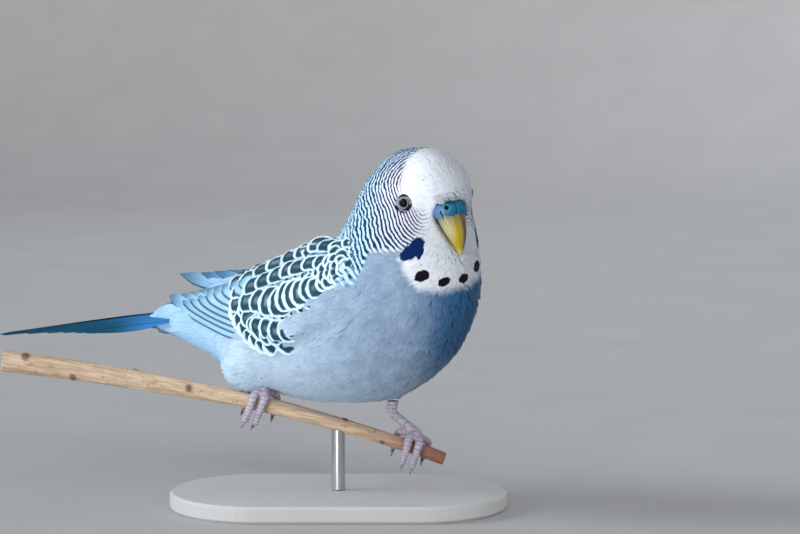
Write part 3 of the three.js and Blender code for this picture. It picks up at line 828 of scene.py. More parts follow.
class WingFace:
    """The outer face of a folded wing, as how far aside it lies by forward and up."""

    def __init__(self, side):
        self.sign = 1 if side == "left" else -1
        twin = twin_of("face_twin", "wing_" + side, "primaries_" + side)
        tree = tree_of(twin)
        bpy.data.objects.remove(twin)
        heights = np.full((WING_SPAN / WING_STEP).astype(int), np.nan)
        for i in range(heights.shape[0]):
            for j in range(heights.shape[1]):
                forward, up = WING_CORNER + (i * WING_STEP, j * WING_STEP)
                start = (self.sign * FAR_ASIDE, -forward, up)
                found = tree.ray_cast(start, (-self.sign, 0, 0))[0]
                under = skin_tree.ray_cast(start, (-self.sign, 0, 0))[0]
                if found:
                    heights[i, j] = abs(found.x)
                    if under:
                        heights[i, j] = max(abs(found.x), abs(under.x) + FACE_OVER_SKIN)
        # Past the wing's edges the face runs on, turning in a little at each step.
        for _ in range(40):
            ring = with_neighbours(heights)
            known = ~np.isnan(ring)
            filled = np.where(known, ring, 0).sum(0) / np.maximum(known.sum(0), 1)
            heights = np.where(np.isnan(heights) & known.any(0), filled - 0.25, heights)
        heights = np.nan_to_num(heights, nan=8)
        for _ in range(4):
            heights = with_neighbours(heights).mean(0)
        self.heights = heights

    def aside(self, flat):
        """How far aside the face lies, between the four nearest known heights."""
        spot = np.clip((flat - WING_CORNER) / WING_STEP, 0, np.array(self.heights.shape) - 1.001)
        i, j = spot[..., 0].astype(int), spot[..., 1].astype(int)
        a, b = spot[..., 0] - i, spot[..., 1] - j
        h = self.heights
        return (
            h[i, j] * (1 - a) * (1 - b) + h[i + 1, j] * a * (1 - b)
            + h[i, j + 1] * (1 - a) * b + h[i + 1, j + 1] * a * b
        )

    def place(self, flat):
        """Points on the wing's face, and which way is outwards there."""
        flat = flat.astype(float)
        if self.sign > 0:
            lift = TIP_LIFT * ease(flat[..., 0], -2, -66)
            flat = flat + np.stack([np.zeros_like(lift), lift], -1)
        span = 1.5
        slope_f = (self.aside(flat + (span, 0)) - self.aside(flat - (span, 0))) / (2 * span)
        slope_z = (self.aside(flat + (0, span)) - self.aside(flat - (0, span))) / (2 * span)
        out = unit(np.stack([self.sign * np.ones_like(slope_f), slope_f, -slope_z], -1))
        return np.stack([self.sign * self.aside(flat), -flat[..., 0], flat[..., 1]], -1), out


def bake_spot_near(points):
    """The bake patch of the skin nearest to each point."""
    return bake_spots[[skin_tree.find_nearest(p)[2] for p in points.tolist()]]


def keep_shapes(piece, halves, lengths, kinds):
    """Keeps each vane's half width, length and kind, for its markings."""
    per_vane = len(piece.data.vertices) // len(halves)
    facts = np.repeat(np.stack([halves, lengths, kinds], 1), per_vane, 0)
    piece.data.attributes.new("Shape", "FLOAT_VECTOR", "POINT").data.foreach_set("vector", facts.ravel())


def on_vane(wire):
    """Across a vane from -1 to 1, along it from 0 to 1, and its half width, length and kind."""
    u, v, _ = wire.node("UVMap", {"uv_map": "Vane"}, {}).parts()
    return (u * 2 - 1, v, *kept(wire, "Shape", "Vector").parts())


def barbs_on(v, length, across, half, spacing, waver=0):
    """The fine slanting lines of a vane's barbs."""
    return ((v * length * 0.8 + abs(across) * half * -0.9 + waver) * (2 * math.pi / spacing)).wave()


def tip_outline(shares, halves, lengths, blunt=0.7):
    """The width of a round-tipped vane at each share of its length."""
    rest = (shares[None] * lengths[:, None] - (lengths - halves * blunt)[:, None]) / (halves * blunt)[:, None]
    outline = np.sqrt(np.clip(1 - np.clip(rest, 0, 1) ** 2, 0, 1))
    root = 0.45 + 0.55 * ease(shares, 0, 0.35)
    return np.maximum(outline * root[None], 0.1)


# Tips of the nested coverts on the wing's flat map: forward, up and half width.
FILES = {
    "lower": ((-0.4, 54.4, 2.5), (-3.6, 54.2, 3.3), (-7.4, 54.4, 3.4), (-11.4, 54.9, 3.3),
              (-15.6, 55.6, 3.0)),
    "middle": ((13, 69, 2.2), (10.4, 68, 2.6), (7.6, 67.2, 3.0), (4.7, 66.3, 3.5), (1.7, 65.3, 4.1),
               (-1.4, 64.4, 4.6), (-4.6, 63.6, 4.9), (-7.8, 63, 4.8), (-11.8, 62.6, 4.4), (-17, 62.3, 4.0),
               (-22.2, 61.6, 3.6), (-27, 60.8, 3.0)),
    "scapular": ((14.5, 75.6, 1.9), (11, 75.2, 2.2), (7, 74.6, 2.6), (2.6, 73.8, 2.9), (-2, 72.8, 3.1),
                 (-6.8, 71.4, 3.3), (-11.8, 69.8, 3.4), (-17, 67.8, 3.4), (-22.4, 65.6, 3.3),
                 (-28, 63.6, 3.0)),
    "upper": ((14, 80.6, 2.0), (9.6, 79.8, 2.4), (5, 78.9, 2.8), (0, 77.8, 3.0), (-5.2, 76.4, 3.2),
              (-10.4, 74.5, 3.3), (-15.8, 72.3, 3.3), (-21.4, 69.9, 3.2), (-27, 67.6, 3.0),
              (-32.4, 65.8, 2.7)),
}
# How far each layer's tips stand out from the wing's face.
LAYERS = {
    "under": -1.5, "rim": -1.05, "second": -0.85, "lower": -0.6, "middle": -0.3, "scapular": -0.1,
    "upper": 0.0, "shoulder": 0.0,
}
UNDER_RINGS = (11, 14, 17.2, 20.5, 24, 27.6, 31.4, 35.4, 39.6, 44)  # out from the shoulder
SHOULDER_RINGS = (2.4, 4.4, 6.5, 8.6)
RIM = np.array((
    (-36, 66.5), (-34.6, 63.4), (-31.2, 60.4), (-27.6, 56.8), (-24.3, 53.2), (-20.4, 50.2), (-16.3, 47.9),
    (-12.3, 46.6), (-8.0, 46.2),
))
RIDGE = np.array(((-36, 65), (-28.3, 66.5), (-17.6, 71.6), (-8.5, 75.4), (8.1, 80.9), (16, 81.5)))
FRONT = np.array(((-6.0, 48.2), (-2.9, 50.2), (5.3, 62.2), (12.8, 66.8)))
SHOULDER_AHEAD = 11  # how far ahead of the wing's front the shoulder's own coverts may lie


def ringed_rows(draw, reaches, layer):
    """Coverts whose tips lie on rings about the shoulder."""
    rows = []
    for number, reach in enumerate(reaches):
        top = math.radians(-62 + 1.55 * reach)
        low = math.radians(100 - 1.45 * reach)
        wide = 2.0 + 0.11 * reach
        count = max(2, round((low - top) * reach / wide))
        for i in range(count):
            angle = top + (low - top) * (i + 0.5 * (number % 2) + 0.25) / count + draw.normal(0, 0.02)
            far = reach - 0.008 * max(0, math.degrees(angle) - 34) ** 1.75 + draw.normal(0, 0.25)
            back = np.array((-math.cos(angle), -math.sin(angle)))
            half = wide * 0.72 * draw.uniform(0.9, 1.1)
            tip = SHOULDER + back * far
            ahead = SHOULDER_AHEAD if layer == LAYERS["shoulder"] else 0
            front = np.interp(tip[1], FRONT[:, 1], FRONT[:, 0]) + ahead
            if tip[1] + half < np.interp(tip[0], *RIDGE.T) and tip[0] < front:
                rows.append((*tip, *unit(back * 0.8 + (-0.3, -0.02)), half, 3.2 + half, layer, 0))
    return rows


def rim_rows(draw, inset, spacing, half, layer, kind):
    """Coverts whose tips follow the wing's rear and lower rim, or lie inside it."""
    runs = np.r_[0, np.cumsum(np.linalg.norm(np.diff(RIM, axis=0), axis=1))]
    count = int(runs[-1] / spacing)
    rows = []
    for i in range(count):
        run = (i + 0.5) * runs[-1] / count
        near = (run, run - 2.5, run + 2.5)
        tip, before, after = (np.array([np.interp(r, runs, RIM[:, axis]) for axis in (0, 1)]) for r in near)
        way = unit(after - before)
        heading = unit(np.array((way[1], -way[0])) + (-0.75, -0.15))
        tip = tip - heading * inset + draw.normal(0, 0.15, 2)
        size = half * draw.uniform(0.9, 1.1)
        rows.append((*tip, *heading, size, 4.5 + 1.3 * size, layer, kind))
    return rows


def filed_rows(draw, name):
    """A file of nested coverts. Each points on along the file."""
    tips = np.array(FILES[name])
    headings = unit(np.gradient(tips[:, :2], axis=0) + (-0.4, -0.12))
    rows = []
    for (forward, up, half), heading in zip(tips, headings):
        forward, up = forward + draw.normal(0, 0.25), up + draw.normal(0, 0.3)
        half *= draw.uniform(0.94, 1.06)
        rows.append((forward, up, *heading, half, 3.6 + 1.5 * half, LAYERS[name], 0))
    return rows


vane_finish, shader, wire = finish_named(
    "wing_vanes", Roughness=0.6, Sheen_Weight=0.03, Specular_IOR_Level=0.12,
)
across, v, half, length, kind = on_vane(wire)
tone = kept(wire, "Tone")
place = object_place(wire)
waver = place.noise(0.9, 2) - 0.5
beyond = ((v * length - length + half * 0.7) / (half * 0.7)).above(0)
edge = half * (abs(across) * 0.3 + 0.7) * (1 - (across * across * 0.62 + beyond * beyond) ** 0.5)
large = kind.step(0.5, 1.5)
square = ((1 - v) * length * 0.6 - across * across * 0.35).below((1 - abs(across)) * half * 1.6)
edge = edge * (1 - large) + square * large + waver * 0.3
white_width = 0.38 + half * 0.215
black_width = 0.42 + half * 0.18 + large * 3
white_edge = (edge - white_width + (place.noise(0.5, 2) - 0.5) * 0.6).step(-0.26, 0.26)
grey_core = (edge - white_width - black_width).step(-0.3, 0.55)
grey = wire.tint(tone, (0.20, 0.26, 0.34), (0.38, 0.42, 0.48))
colour = wire.tint(grey_core * 0.7, (0.009, 0.05, 0.08), grey)
rim_colour = wire.tint(place.noise(0.15, 1), (0.46, 0.72, 0.87), (0.70, 0.84, 0.93))
colour = wire.tint(white_edge, rim_colour, colour)
barbs = barbs_on(v, length, across, half, 0.28, waver * 0.3)
shaft = 1 - abs(across).step(0.02, 0.09)
shaded = wire.node("HueSaturation", {}, {"Value": tone * 0.25 + 0.87, "Color": colour})
feed(shader, Base_Color=shaded, Normal=(barbs * 0.5 + shaft).bumped(0.06 * MM, 0.35))

quill_finish, shader, wire = finish_named("quill_vanes", Roughness=0.5, Specular_IOR_Level=0.35)
across, v, half, length, kind = on_vane(wire)
pale = wire.tint(v.step(0.80, 1.0), (0.34, 0.60, 0.86), (0.07, 0.18, 0.27))
line = (across * (1 - kind * 2)).step(0.66, 0.80)
colour = wire.tint(line * 0.85, pale, (0.02, 0.06, 0.10))
colour = wire.tint((1 - abs(across).step(0.03, 0.10)) * 0.3, colour, (0.10, 0.16, 0.22))
shaded = wire.node("HueSaturation", {}, {"Value": kept(wire, "Tone") * 0.2 + 0.9, "Color": colour})
feed(shader, Base_Color=shaded, Normal=barbs_on(v, length, across, half, 0.35).bumped(0.05 * MM, 0.3))

COVER = 1.5  # how far the coverts' roots lie under their tips
QUILLS, QUILL_COLUMNS = 9, 7
QUILL_SHARES = np.linspace(0, 1, 16)
WING_SEED = 31
wing_pieces = []
for side in ("right", "left"):
    face = WingFace(side)
    draw = np.random.default_rng(WING_SEED)
    rows = ringed_rows(draw, UNDER_RINGS, LAYERS["under"])
    rows += rim_rows(draw, 0.3, 3.3, 2.4, LAYERS["rim"], 2)
    rows += rim_rows(draw, 4.9, 3.9, 2.7, LAYERS["second"], 0)
    for name in FILES:
        rows += filed_rows(draw, name)
    rows += ringed_rows(draw, SHOULDER_RINGS, LAYERS["shoulder"])
    rows = np.array(rows)
    tips, headings, halves, lengths, layers, kinds = rows[:, :2], rows[:, 2:4], *rows[:, 4:].T
    points, outs = face.place(straight_shafts(tips, headings, lengths, COVERT_SHARES - 1))
    rise = layers[:, None] - COVER * (1 - COVERT_SHARES[None]) ** 0.9 * np.clip(lengths / 9, 0.5, 1)[:, None]
    points = points + outs * rise[..., None]
    widths = halves[:, None] * tip_outline(COVERT_SHARES, halves, lengths)
    frayed = frayed_tips(draw, 0.06, len(rows), COVERT_SHARES, COVERT_COLUMNS)
    coverts = vanes(
        "coverts_" + side, points, outs, widths, COVERT_COLUMNS, 0.12, COVERT_SHARES,
        draw.random(len(rows)), bake_spot_near(points[:, 2]), frayed,
    )
    keep_shapes(coverts, halves, lengths, kinds)
    coverts.data.materials.append(vane_finish)
    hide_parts("wing_" + side)

    # The quills fan out from under the coverts, each over the one below it, to the wing's tip.
    step = np.arange(QUILLS)
    roots = np.stack([-4 - 0.6 * step, 50.5 + 2.35 * step], 1)
    ends = np.stack([-63 + 4.6 * step - 2.5 * (step == 0), 59.4 + 0.95 * step], 1)
    bow = np.sin(QUILL_SHARES * math.pi)[None, :, None] * np.array((0, -2.2)) * (1 - step / 12)[:, None, None]
    points, outs = face.place(straight_shafts(roots, ends - roots, np.ones(QUILLS), QUILL_SHARES) + bow)
    sink = -2.3 + 0.06 * step[:, None] + 1.6 * ease(QUILL_SHARES, 0.25, 0.9)[None]
    points = points + outs * sink[..., None]
    halves = 2.5 + 0.08 * step
    lengths = np.linalg.norm(ends - roots, axis=1)
    widths = halves[:, None] * np.minimum(tip_outline(QUILL_SHARES, halves, lengths, 3.2), 1)
    quills = vanes(
        "quills_" + side, points, outs, widths, QUILL_COLUMNS, 0.08, QUILL_SHARES,
        draw.random(QUILLS), bake_spot_near(points[:, 4]),
    )
    keep_shapes(quills, halves, lengths, np.full(QUILLS, float(side == "left")))
    quills.data.materials.append(quill_finish)
    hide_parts("primaries_" + side)
    wing_pieces += [coverts, quills]

# Mantle. Broad grey feathers with dark rims and white edges cover the back between the wings
# and overlap the wings' upper edges. Each is rooted in the back's skin.
MANTLE_LIFT = 1.5
MANTLE_SPACING = 3.1
MANTLE_COLUMNS = 7
MANTLE_KIND = 0.3
MANTLE_SEED = 41


def back_height(places):
    """The height of the back's skin, with its dips filled, or 0 where there is none."""
    heights = []
    for x, y in places.reshape(-1, 3)[:, :2].tolist():
        round_here = [(x + a, y + b, HIGH_ABOVE) for a in (-2, 0, 2) for b in (-2, 0, 2)]
        found = [skin_tree.ray_cast(start, (0, 0, -1))[0] for start in round_here]
        found = [f.z for f in found if f and 40 < f.z < 84 - 0.25 * (y + 12)]
        heights.append(sum(found) / len(found) if found else 0)
    return np.array(heights).reshape(places.shape[:2])


skin_aside, skin_behind, skin_height = np.abs(skin_middles[:, 0]), skin_middles[:, 1], skin_middles[:, 2]
mantle_top = (skin_normals[:, 2] > 0.3) & (skin_behind > -12) & (skin_behind < 30)
mantle_top &= (skin_aside < 12) & (skin_height > 62)
roots, on = scattered(np.where(mantle_top, MANTLE_SPACING, 0), MANTLE_SEED)
draw = np.random.default_rng(MANTLE_SEED + 1)
halves = draw.uniform(2.5, 3.1, len(on))
lengths = halves * 2.7
heading = unit(roots * (0.35, 0, 0) + draw.normal(0, 0.8, (len(on), 3)) + (0, 12, 0))
shafts = straight_shafts(roots, heading, lengths, COVERT_SHARES)
shafts[..., 2] = back_height(shafts)
known = (shafts[..., 2] > 0).all(1)
on, shafts, halves, lengths = on[known], shafts[known], halves[known], lengths[known]
shafts[..., 2] += MANTLE_LIFT * (COVERT_SHARES[None] * 0.8 + 0.2)
level = np.ones(shafts.shape[:2])
outs = unit(np.stack([shafts[..., 0] / 18, level * 0.25, level], -1))
widths = halves[:, None] * tip_outline(COVERT_SHARES, halves, lengths)
frayed = frayed_tips(draw, 0.1, len(on), COVERT_SHARES, MANTLE_COLUMNS)
mantle = vanes(
    "mantle", shafts, outs, widths, MANTLE_COLUMNS, 0.2, COVERT_SHARES,
    draw.random(len(on)), bake_spots[on], frayed,
)
keep_shapes(mantle, halves, lengths, np.full(len(on), MANTLE_KIND))
mantle.data.materials.append(vane_finish)

# Small feathers. Each is a thin vane rooted in the skin. It lies back along the body away from
# the bill, and its tip rests on the roots of the feathers behind it.
SMALL_SHARES = np.array((0.0, 0.3, 0.6, 0.85, 1.0))
SMALL_OUTLINE = np.array((0.55, 0.95, 1.0, 0.72, 0.22))
SMALL_COLUMNS = 5
SMALL_LENGTH, SMALL_HALF_WIDTH, SMALL_FRAYED = 3.4, 0.66, 0.16  # by the feather's size
HEAD_SPACING, BODY_SPACING = 0.6, 0.5  # the roots' spacing, by the feather's size
HEAD_FLOOR, HEAD_BACK, FACE_BACK = -17, -16, 2  # where the head's plumage parts
BREAST_BACK, BELLY_TOP = -8, 46  # where the body's plumage parts
COVER_REACH = 4.0  # vanes this near over the skin hide what stands under them
skin_forward, skin_left, skin_up = head_frame(skin_middles)
skin_eye_gap = eye_gaps(skin_middles)
feather_size = 0.9 + 0.75 * (1 - ease(skin_up, -26, -12)) + 0.35 * ease(skin_behind, -5, 40)
feather_size *= 0.55 + 0.45 * ease(np.minimum(face_gaps(skin_middles) - 6, skin_eye_gap - 3), 0, 9)
feather_size[skin_eye_gap < 1.8] = 0


def small_feathers(name, wanted, spacing, seed):
    """A stretch of plumage of small feathers, each as long as its place on the body asks."""
    roots, on = scattered(np.where(wanted, feather_size * spacing, 0), seed)
    draw = np.random.default_rng(seed + 1)
    size = feather_size[on] * draw.uniform(0.85, 1.15, len(on))
    stray = draw.normal(0, 0.09, (len(on), 3))
    shafts, outs = along_skin(roots, size * SMALL_LENGTH, SMALL_SHARES, stray)
    depth = coat_depth(roots) * draw.uniform(0.8, 1.12, len(on))
    shafts = shafts + outs * (depth[:, None] * (0.04 + 0.96 * SMALL_SHARES ** 0.55))[..., None]
    half_widths = size[:, None] * SMALL_HALF_WIDTH * SMALL_OUTLINE
    frayed = frayed_tips(draw, 1, len(on), SMALL_SHARES, SMALL_COLUMNS) * size[:, None, None] * SMALL_FRAYED
    piece = vanes(
        name, shafts, outs, half_widths, SMALL_COLUMNS, 0.22, SMALL_SHARES,
        draw.random(len(on)), bake_spots[on], frayed, 0.94,
    )
    piece.data.materials.append(plumage)


# None stand under the wings' vanes or the mantle, past the front edge where the breast overlaps.
cover_points, cover_faces = [], []
for piece in (*wing_pieces, mantle):
    cover_faces.append(triangles_of(piece) + sum(len(p) for p in cover_points))
    cover_points.append(points_of(piece))
cover_tree = BVHTree.FromPolygons(np.concatenate(cover_points).tolist(), np.concatenate(cover_faces).tolist())
covered = np.array([
    cover_tree.ray_cast(p, n, COVER_REACH)[0] is not None
    for p, n in zip((skin_middles - skin_normals * 0.8).tolist(), skin_normals.tolist())
])
behind_front = (skin_behind + 17) * 0.697 + (skin_height - 65.5) * 0.717
overlap = 0.6 + 2.6 * (1 - ease(skin_height, 46.5, 52.5))
covered &= (behind_front > overlap) | (skin_aside < 12)
covered |= (skin_height > 62) & (skin_behind > -13) & (skin_behind < 34)
head_part = (skin_up > HEAD_FLOOR) & (skin_forward > HEAD_BACK)
face_part = head_part & (skin_forward > FACE_BACK)
breast_part = ~head_part & (skin_behind < BREAST_BACK)
belly_part = ~head_part & ~breast_part & (skin_height < BELLY_TOP)
back_part = ~head_part & ~breast_part & ~belly_part
small_feathers("feathers_face", face_part & ~covered, HEAD_SPACING, 11)
small_feathers("feathers_nape", head_part & ~face_part & ~covered, HEAD_SPACING, 13)
small_feathers("feathers_breast", breast_part & ~covered, BODY_SPACING, 21)
small_feathers("feathers_belly", belly_part & ~covered, BODY_SPACING, 23)
small_feathers("feathers_back", back_part & ~covered, BODY_SPACING, 25)

# Tail coverts. Longer blue feathers rooted in the rump's skin run on over the tail's root, so
# that the body tapers into the tail.
TAIL_COVERT_LENGTH, TAIL_COVERT_HALF_WIDTH = 15, 1.7
TAIL_COVERT_SEED = 71
rump_end = (skin_behind > 45) & (skin_behind < 66) & (skin_normals[:, 2] > -0.25)
roots, on = scattered(np.where(rump_end, TAIL_COVERT_HALF_WIDTH, 0), TAIL_COVERT_SEED)
draw = np.random.default_rng(TAIL_COVERT_SEED + 1)
count = len(on)
lengths = TAIL_COVERT_LENGTH * draw.uniform(0.8, 1.1, count) * (1 - 0.35 * ease(roots[:, 1], 50, 66))
heading = np.stack([-0.045 * roots[:, 0], np.ones(count), -0.18 - 0.03 * (roots[:, 2] - 55)], -1)
heading = unit(heading + draw.normal(0, 0.03, (count, 3)))
outs = np.repeat(skin_normals[on][:, None], len(COVERT_SHARES), 1)
shafts = straight_shafts(roots, heading, lengths, COVERT_SHARES)
shafts = shafts + outs * (0.3 + np.sin(COVERT_SHARES * math.pi * 0.75))[None, :, None]
halves = np.full(count, TAIL_COVERT_HALF_WIDTH)
widths = halves[:, None] * tip_outline(COVERT_SHARES, halves, lengths, 1.6)
frayed = frayed_tips(draw, 0.16, count, COVERT_SHARES, SMALL_COLUMNS)
tail_coverts = vanes(
    "tail_coverts", shafts, outs, widths, SMALL_COLUMNS, 0.12, COVERT_SHARES,
    draw.random(count), bake_spots[on], frayed, 0.35,
)
tail_coverts.data.materials.append(plumage)

# Brow. Short white feathers rooted in the forehead's skin stand forward over the upper edge of
# the cere.
BROW_REACH, BROW_HALF_WIDTH, BROW_BULGE = 1.75, 0.36, 0.75
BROW_SEED = 61
brow = (skin_forward > 9.6) & (np.abs(skin_left) < 6.6) & (skin_up > -0.4) & (skin_up < 1.8)
roots, on = scattered(np.where(brow, BROW_HALF_WIDTH, 0), BROW_SEED)
draw = np.random.default_rng(BROW_SEED + 1)
count = len(on)
heading = np.stack([draw.normal(0, 0.1, count), draw.normal(-0.52, 0.1, count), np.full(count, -0.85)], -1)
heading[:, 0] -= 0.5 * np.sign(skin_left[on]) * ease(np.abs(skin_left[on]), 3, 6)
heading = turn_with_head(unit(heading))
bulge = turn_with_head(np.array((0, -0.8, 0.6)))
lengths = BROW_REACH * draw.uniform(0.8, 1.15, count)
shafts = straight_shafts(roots, heading, lengths, SMALL_SHARES)
shafts = shafts + bulge * (BROW_BULGE * SMALL_SHARES ** 0.7)[None, :, None]
outs = skin_normals[on][:, None] * (1.1 - SMALL_SHARES)[None, :, None]
outs = unit(outs + bulge * (SMALL_SHARES + 0.1)[:, None])
widths = np.full((count, 1), BROW_HALF_WIDTH) * SMALL_OUTLINE
frayed = frayed_tips(draw, 0.12, count, SMALL_SHARES, SMALL_COLUMNS)
brow_piece = vanes(
    "feathers_brow", shafts, outs, widths, SMALL_COLUMNS, 0.2, SMALL_SHARES,
    draw.random(count), bake_spots[on], frayed, 0.7,
)
brow_piece.data.materials.append(plumage)

# Tail. Six pairs of narrow tapering feathers in steps, each with a dark shaft and its root in the
# rump. The middle pair is long and deep blue, and the shorter outer ones are a little paler.
TAIL_ROOT = np.array((0, 62, 53.6))
TAIL_DROP = math.radians(9.2)
TAIL_LENGTHS = (82, 68, 57, 48, 41, 35)  # from the middle pair outwards
TAIL_COLUMNS = 7
TAIL_SHARES = np.linspace(0, 1, 24)
tail_finish, shader, wire = finish_named("tail_vanes", Roughness=0.7, Specular_IOR_Level=0.05)
across, v, half, length, kind = on_vane(wire)
deep = wire.tint(v.step(0.0, 0.4), (0.028, 0.17, 0.46), (0.006, 0.06, 0.12))
outer = wire.tint(v.step(0.15, 0.7), (0.04, 0.20, 0.50), (0.010, 0.08, 0.15))
colour = wire.tint(kind.step(0.1, 0.35), deep, outer)
colour = wire.tint((1 - abs(across).step(0.04, 0.12)) * 0.6, colour, (0.006, 0.02, 0.05))
feed(shader, Base_Color=colour, Normal=barbs_on(v, length, across, half, 0.4).bumped(0.05 * MM, 0.3))
shafts, outs, halves, lengths, kinds = [], [], [], [], []
for pair, long in enumerate(TAIL_LENGTHS):
    for side in (-1, 1):
        fan = side * (0.012 + 0.012 * pair)
        back = np.array((math.sin(fan), math.cos(fan) * math.cos(TAIL_DROP), -math.sin(TAIL_DROP)))
        root = TAIL_ROOT + (side * (1.1 + 1.1 * pair), 0, 1.0 - 0.55 * pair - 0.05 * (side > 0))
        shafts.append(root + back * (TAIL_SHARES * long)[:, None])
        lean = side * (0.42 + 0.10 * pair)
        outs.append(np.tile((math.sin(lean), 0.16, math.cos(lean)), (len(TAIL_SHARES), 1)))
        halves.append(2.7 - 0.12 * pair)
        lengths.append(long)
        kinds.append(pair / 5)
halves, lengths = np.array(halves), np.array(lengths)
taper = 1 - 0.55 * ease(TAIL_SHARES, 0.45, 1.0)
widths = halves[:, None] * taper * tip_outline(TAIL_SHARES, halves, lengths, 1.6)
points = np.stack(shafts)
apart = np.linspace(0, 10 * BAKE_PATCH, len(halves))[:, None]
tail = vanes(
    "tail_feathers", points, unit(np.stack(outs)), widths, TAIL_COLUMNS, 0.2, TAIL_SHARES,
    np.zeros(len(halves)), bake_spot_near(points[:, 0]) + apart,
)
keep_shapes(tail, halves, lengths, np.array(kinds))
tail.data.materials.append(tail_finish)
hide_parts("tail")

# Feet. Bare pinkish grey skin runs in one over the shanks and toes. Scutes lie in bands across
# them, and fine round scales cover them all over.
TWIG_BEARING, TWIG_SLOPE = math.radians(-53), math.radians(12)
TWIG_HEADING = np.array((math.cos(TWIG_BEARING), math.sin(TWIG_BEARING)))
TWIG = np.array((
    (-99, 43.6, 3.4), (-75, 40.3, 3.1), (-49, 36, 2.8), (-25, 31.3, 2.5), (-2, 25.1, 2.35),
    (21.5, 18, 2.1), (31.5, 14.2, 2.0),
))  # along, height and radius
TOES = [
    f"toe_{side}_{toe}"
    for side in ("right", "left")
    for toe in ("inner_front", "outer_front", "inner_rear", "outer_rear")
]
TOE_BOW = 3.6  # radius of the toes' curve over the twig
TOE_SCUTE, SHANK_SCUTE, SCUTE_RISE = 1.05, 1.2, 0.11


def round_twig(points):
    """How far over the twig's back and down its side each point lies, and how high over it."""
    along = points[:, :2] @ TWIG_HEADING
    height = np.interp(along, TWIG[:, 0], TWIG[:, 1])
    front = points[:, 0] * TWIG_HEADING[1] - points[:, 1] * TWIG_HEADING[0]
    over = points[:, 2] - height
    arc = TOE_BOW * np.arctan2(np.abs(front), np.maximum(over, 0.01))
    return np.where(over > 0, arc, TOE_BOW * math.pi / 2 - over), over


feet = twin_of("feet_skin", "shank_right", "shank_left", *TOES)
worked(feet, "DISPLACE", strength=0.17 * MM, mid_level=0)
rounded(feet, 0.2, 5)
points, out = points_of(feet), normals_of(feet)
arc, over = round_twig(points)
toe_bands = np.abs(np.sin(math.pi * arc / TOE_SCUTE)) ** 0.5
shank_bands = np.abs(np.sin(math.pi * points[:, 2] / SHANK_SCUTE)) ** 0.5
on_shank = ease(over, 5.5, 7)
scutes = toe_bands * (1 - on_shank) + shank_bands * on_shank
move_points(feet, points + out * ((scutes - 2) * SCUTE_RISE)[:, None])
keep(feet, "Scute", scutes)
scaly, shader, wire = finish_named(
    "foot_skin", Roughness=0.5, Subsurface_Weight=0.12, Subsurface_Radius=(0.001, 0.0005, 0.0004),
)
place = object_place(wire)
cells = place.node("TexVoronoi", {}, {"Vector": place, "Scale": 2.4}, "Distance")
colour = wire.tint(place.noise(0.8, 2).step(0.3, 0.7), (0.46, 0.36, 0.42), (0.52, 0.50, 0.60))
# The grooves between the scutes are painted dark: painted shade in the creases.
colour = wire.tint((1 - kept(wire, "Scute").step(0.25, 0.75)) * 0.7, colour, (0.13, 0.12, 0.18))
feed(shader, Base_Color=colour, Normal=(1 - cells).bumped(0.08 * MM, 0.5))
feet.data.materials.append(scaly)
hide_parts("shank_right", "shank_left", *TOES)
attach(feet, "root")

# Claws. Each toe ends in a smooth curved claw of horn, clouded in dark and paler grey, whose
# root is set in the toe's skin.
CLAWS = [toe.replace("toe", "claw") for toe in TOES]
claws = twin_of("claws", *CLAWS)
worked(claws, "SUBSURF", levels=2, render_levels=2)
select_only(claws)
bpy.ops.object.shade_smooth()
claw_horn, shader, wire = finish_named("claw_horn", Roughness=0.3, Coat_Weight=0.3)
clouds = object_place(wire).noise(0.7, 2).step(0.35, 0.65)
feed(shader, Base_Color=wire.tint(clouds, (0.12, 0.12, 0.15), (0.40, 0.40, 0.46)))
claws.data.materials.append(claw_horn)
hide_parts(*CLAWS)
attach(claws, "root")

# Perch. A cut length of thin branch. Its smooth tan bark turns dark red-brown towards the thin
# end and has specks, and knots where buds were. The cut ends show pale pinkish wood.
KNOTS = (
    (-92, 0.9, 1.5), (-78, -0.6, 1.2), (-60, 1.9, 1.4), (-44, 0.3, 1.2), (2, 1.2, 1.1), (13, -0.5, 1.0),
)  # along, round and size
TWIG_ENDS = (-98.5, 31)
TWIG_AXIS = (0.58, -0.77, -0.26)
twig = twin_of("twig_bark", "perch")
rounded(twig, 0.45, 2)
points, out = points_of(twig), normals_of(twig)
along = points[:, :2] @ TWIG_HEADING
height = np.interp(along, TWIG[:, 0], TWIG[:, 1])
around = np.arctan2(points[:, 2] - height, points[:, 0] * TWIG_HEADING[1] - points[:, 1] * TWIG_HEADING[0])
ridges = 0.08 * np.sin(around * 5 + along * 0.09) + 0.06 * np.sin(around * 9 - along * 0.21)
knots = np.zeros(len(points))
for spot, angle, size in KNOTS:
    gap = np.hypot(along - spot, 2.6 * ((around - angle + math.pi) % (2 * math.pi) - math.pi))
    knots += np.exp(-((gap / size) ** 2)) * 0.5
inside = np.minimum(along - TWIG_ENDS[0], TWIG_ENDS[1] - along)
move_points(twig, points + out * ((ridges + knots) * ease(inside, 0, 2) - 0.05)[:, None])
keep(twig, "Knot", knots)
bark, shader, wire = finish_named("twig_bark", Roughness=0.62)
sockets = {"Vector": object_place(wire), "Rotation": (0, TWIG_SLOPE, TWIG_BEARING)}
turned = wire.node("Mapping", {"vector_type": "TEXTURE"}, sockets)
streaks = turned.stretched(0.16, 1.3, 1.3).noise(0.9, 4, 0.6)
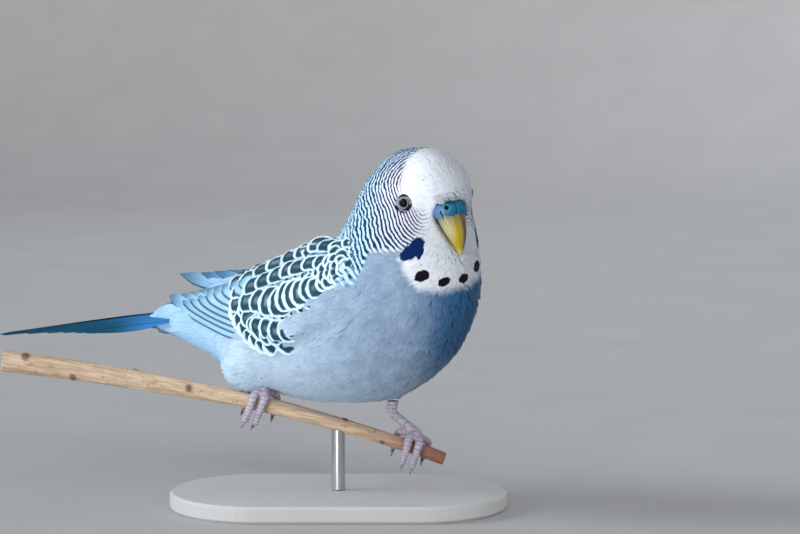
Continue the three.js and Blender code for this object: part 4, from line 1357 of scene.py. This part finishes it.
specks = turned.noise(0.55, 3, 0.65)
colour = wire.tint(streaks.step(0.35, 0.65), (0.52, 0.35, 0.23), (0.72, 0.55, 0.39))
colour = wire.tint(specks.step(0.58, 0.72) * 0.6, colour, (0.30, 0.12, 0.06))
thin_end = turned.parts()[0].step(-4, 27)
colour = wire.tint(thin_end * 0.92, colour, (0.27, 0.09, 0.062))
colour = wire.tint(kept(wire, "Knot").step(0.08, 0.4) * 0.85, colour, (0.13, 0.055, 0.03))
normal = wire.node("NewGeometry", {}, {}, "Normal")
facing = wire.node("VectorMath", {"operation": "DOT_PRODUCT"}, {0: normal, 1: TWIG_AXIS}, 1)
rings = (turned.away((31, 0, 0), 0, 1, 1) * 6).wave()
cut_wood = wire.tint(rings * 0.5 + 0.5, (0.50, 0.33, 0.27), (0.62, 0.45, 0.37))
colour = wire.tint(abs(facing).step(0.8, 0.9), colour, cut_wood)
feed(shader, Base_Color=colour, Normal=(streaks + specks * 0.5).bumped(0.12 * MM, 0.6))
twig.data.materials.append(bark)
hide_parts("perch")
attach(twig, "root")

# Stand. A plain flat base of matt off-white plastic and a short rod of brushed steel hold the
# twig. Both keep the frame's own shapes.
matt, shader, wire = finish_named("stand_base", Roughness=0.5)
place = object_place(wire)
haze = place.noise(0.05, 3)
feed(
    shader,
    Base_Color=wire.tint(haze, (0.66, 0.65, 0.63), (0.72, 0.71, 0.69)),
    Roughness=haze * 0.15 + 0.42,
    Normal=place.noise(3.5, 3).bumped(0.03 * MM, 0.4),
)
steel, shader, wire = finish_named("stand_rod", Metallic=1.0, Roughness=0.3)
brush = object_place(wire).stretched(0.2, 0.2, 9).noise(1.5, 3)
feed(
    shader,
    Base_Color=wire.tint(brush, (0.48, 0.48, 0.50), (0.62, 0.62, 0.64)),
    Roughness=brush * 0.25 + 0.2,
    Normal=brush.bumped(0.02 * MM, 0.3),
)
for node, finish in (("stand_base", matt), ("stand_rod", steel)):
    nodes[node].data.materials.clear()
    nodes[node].data.materials.append(finish)
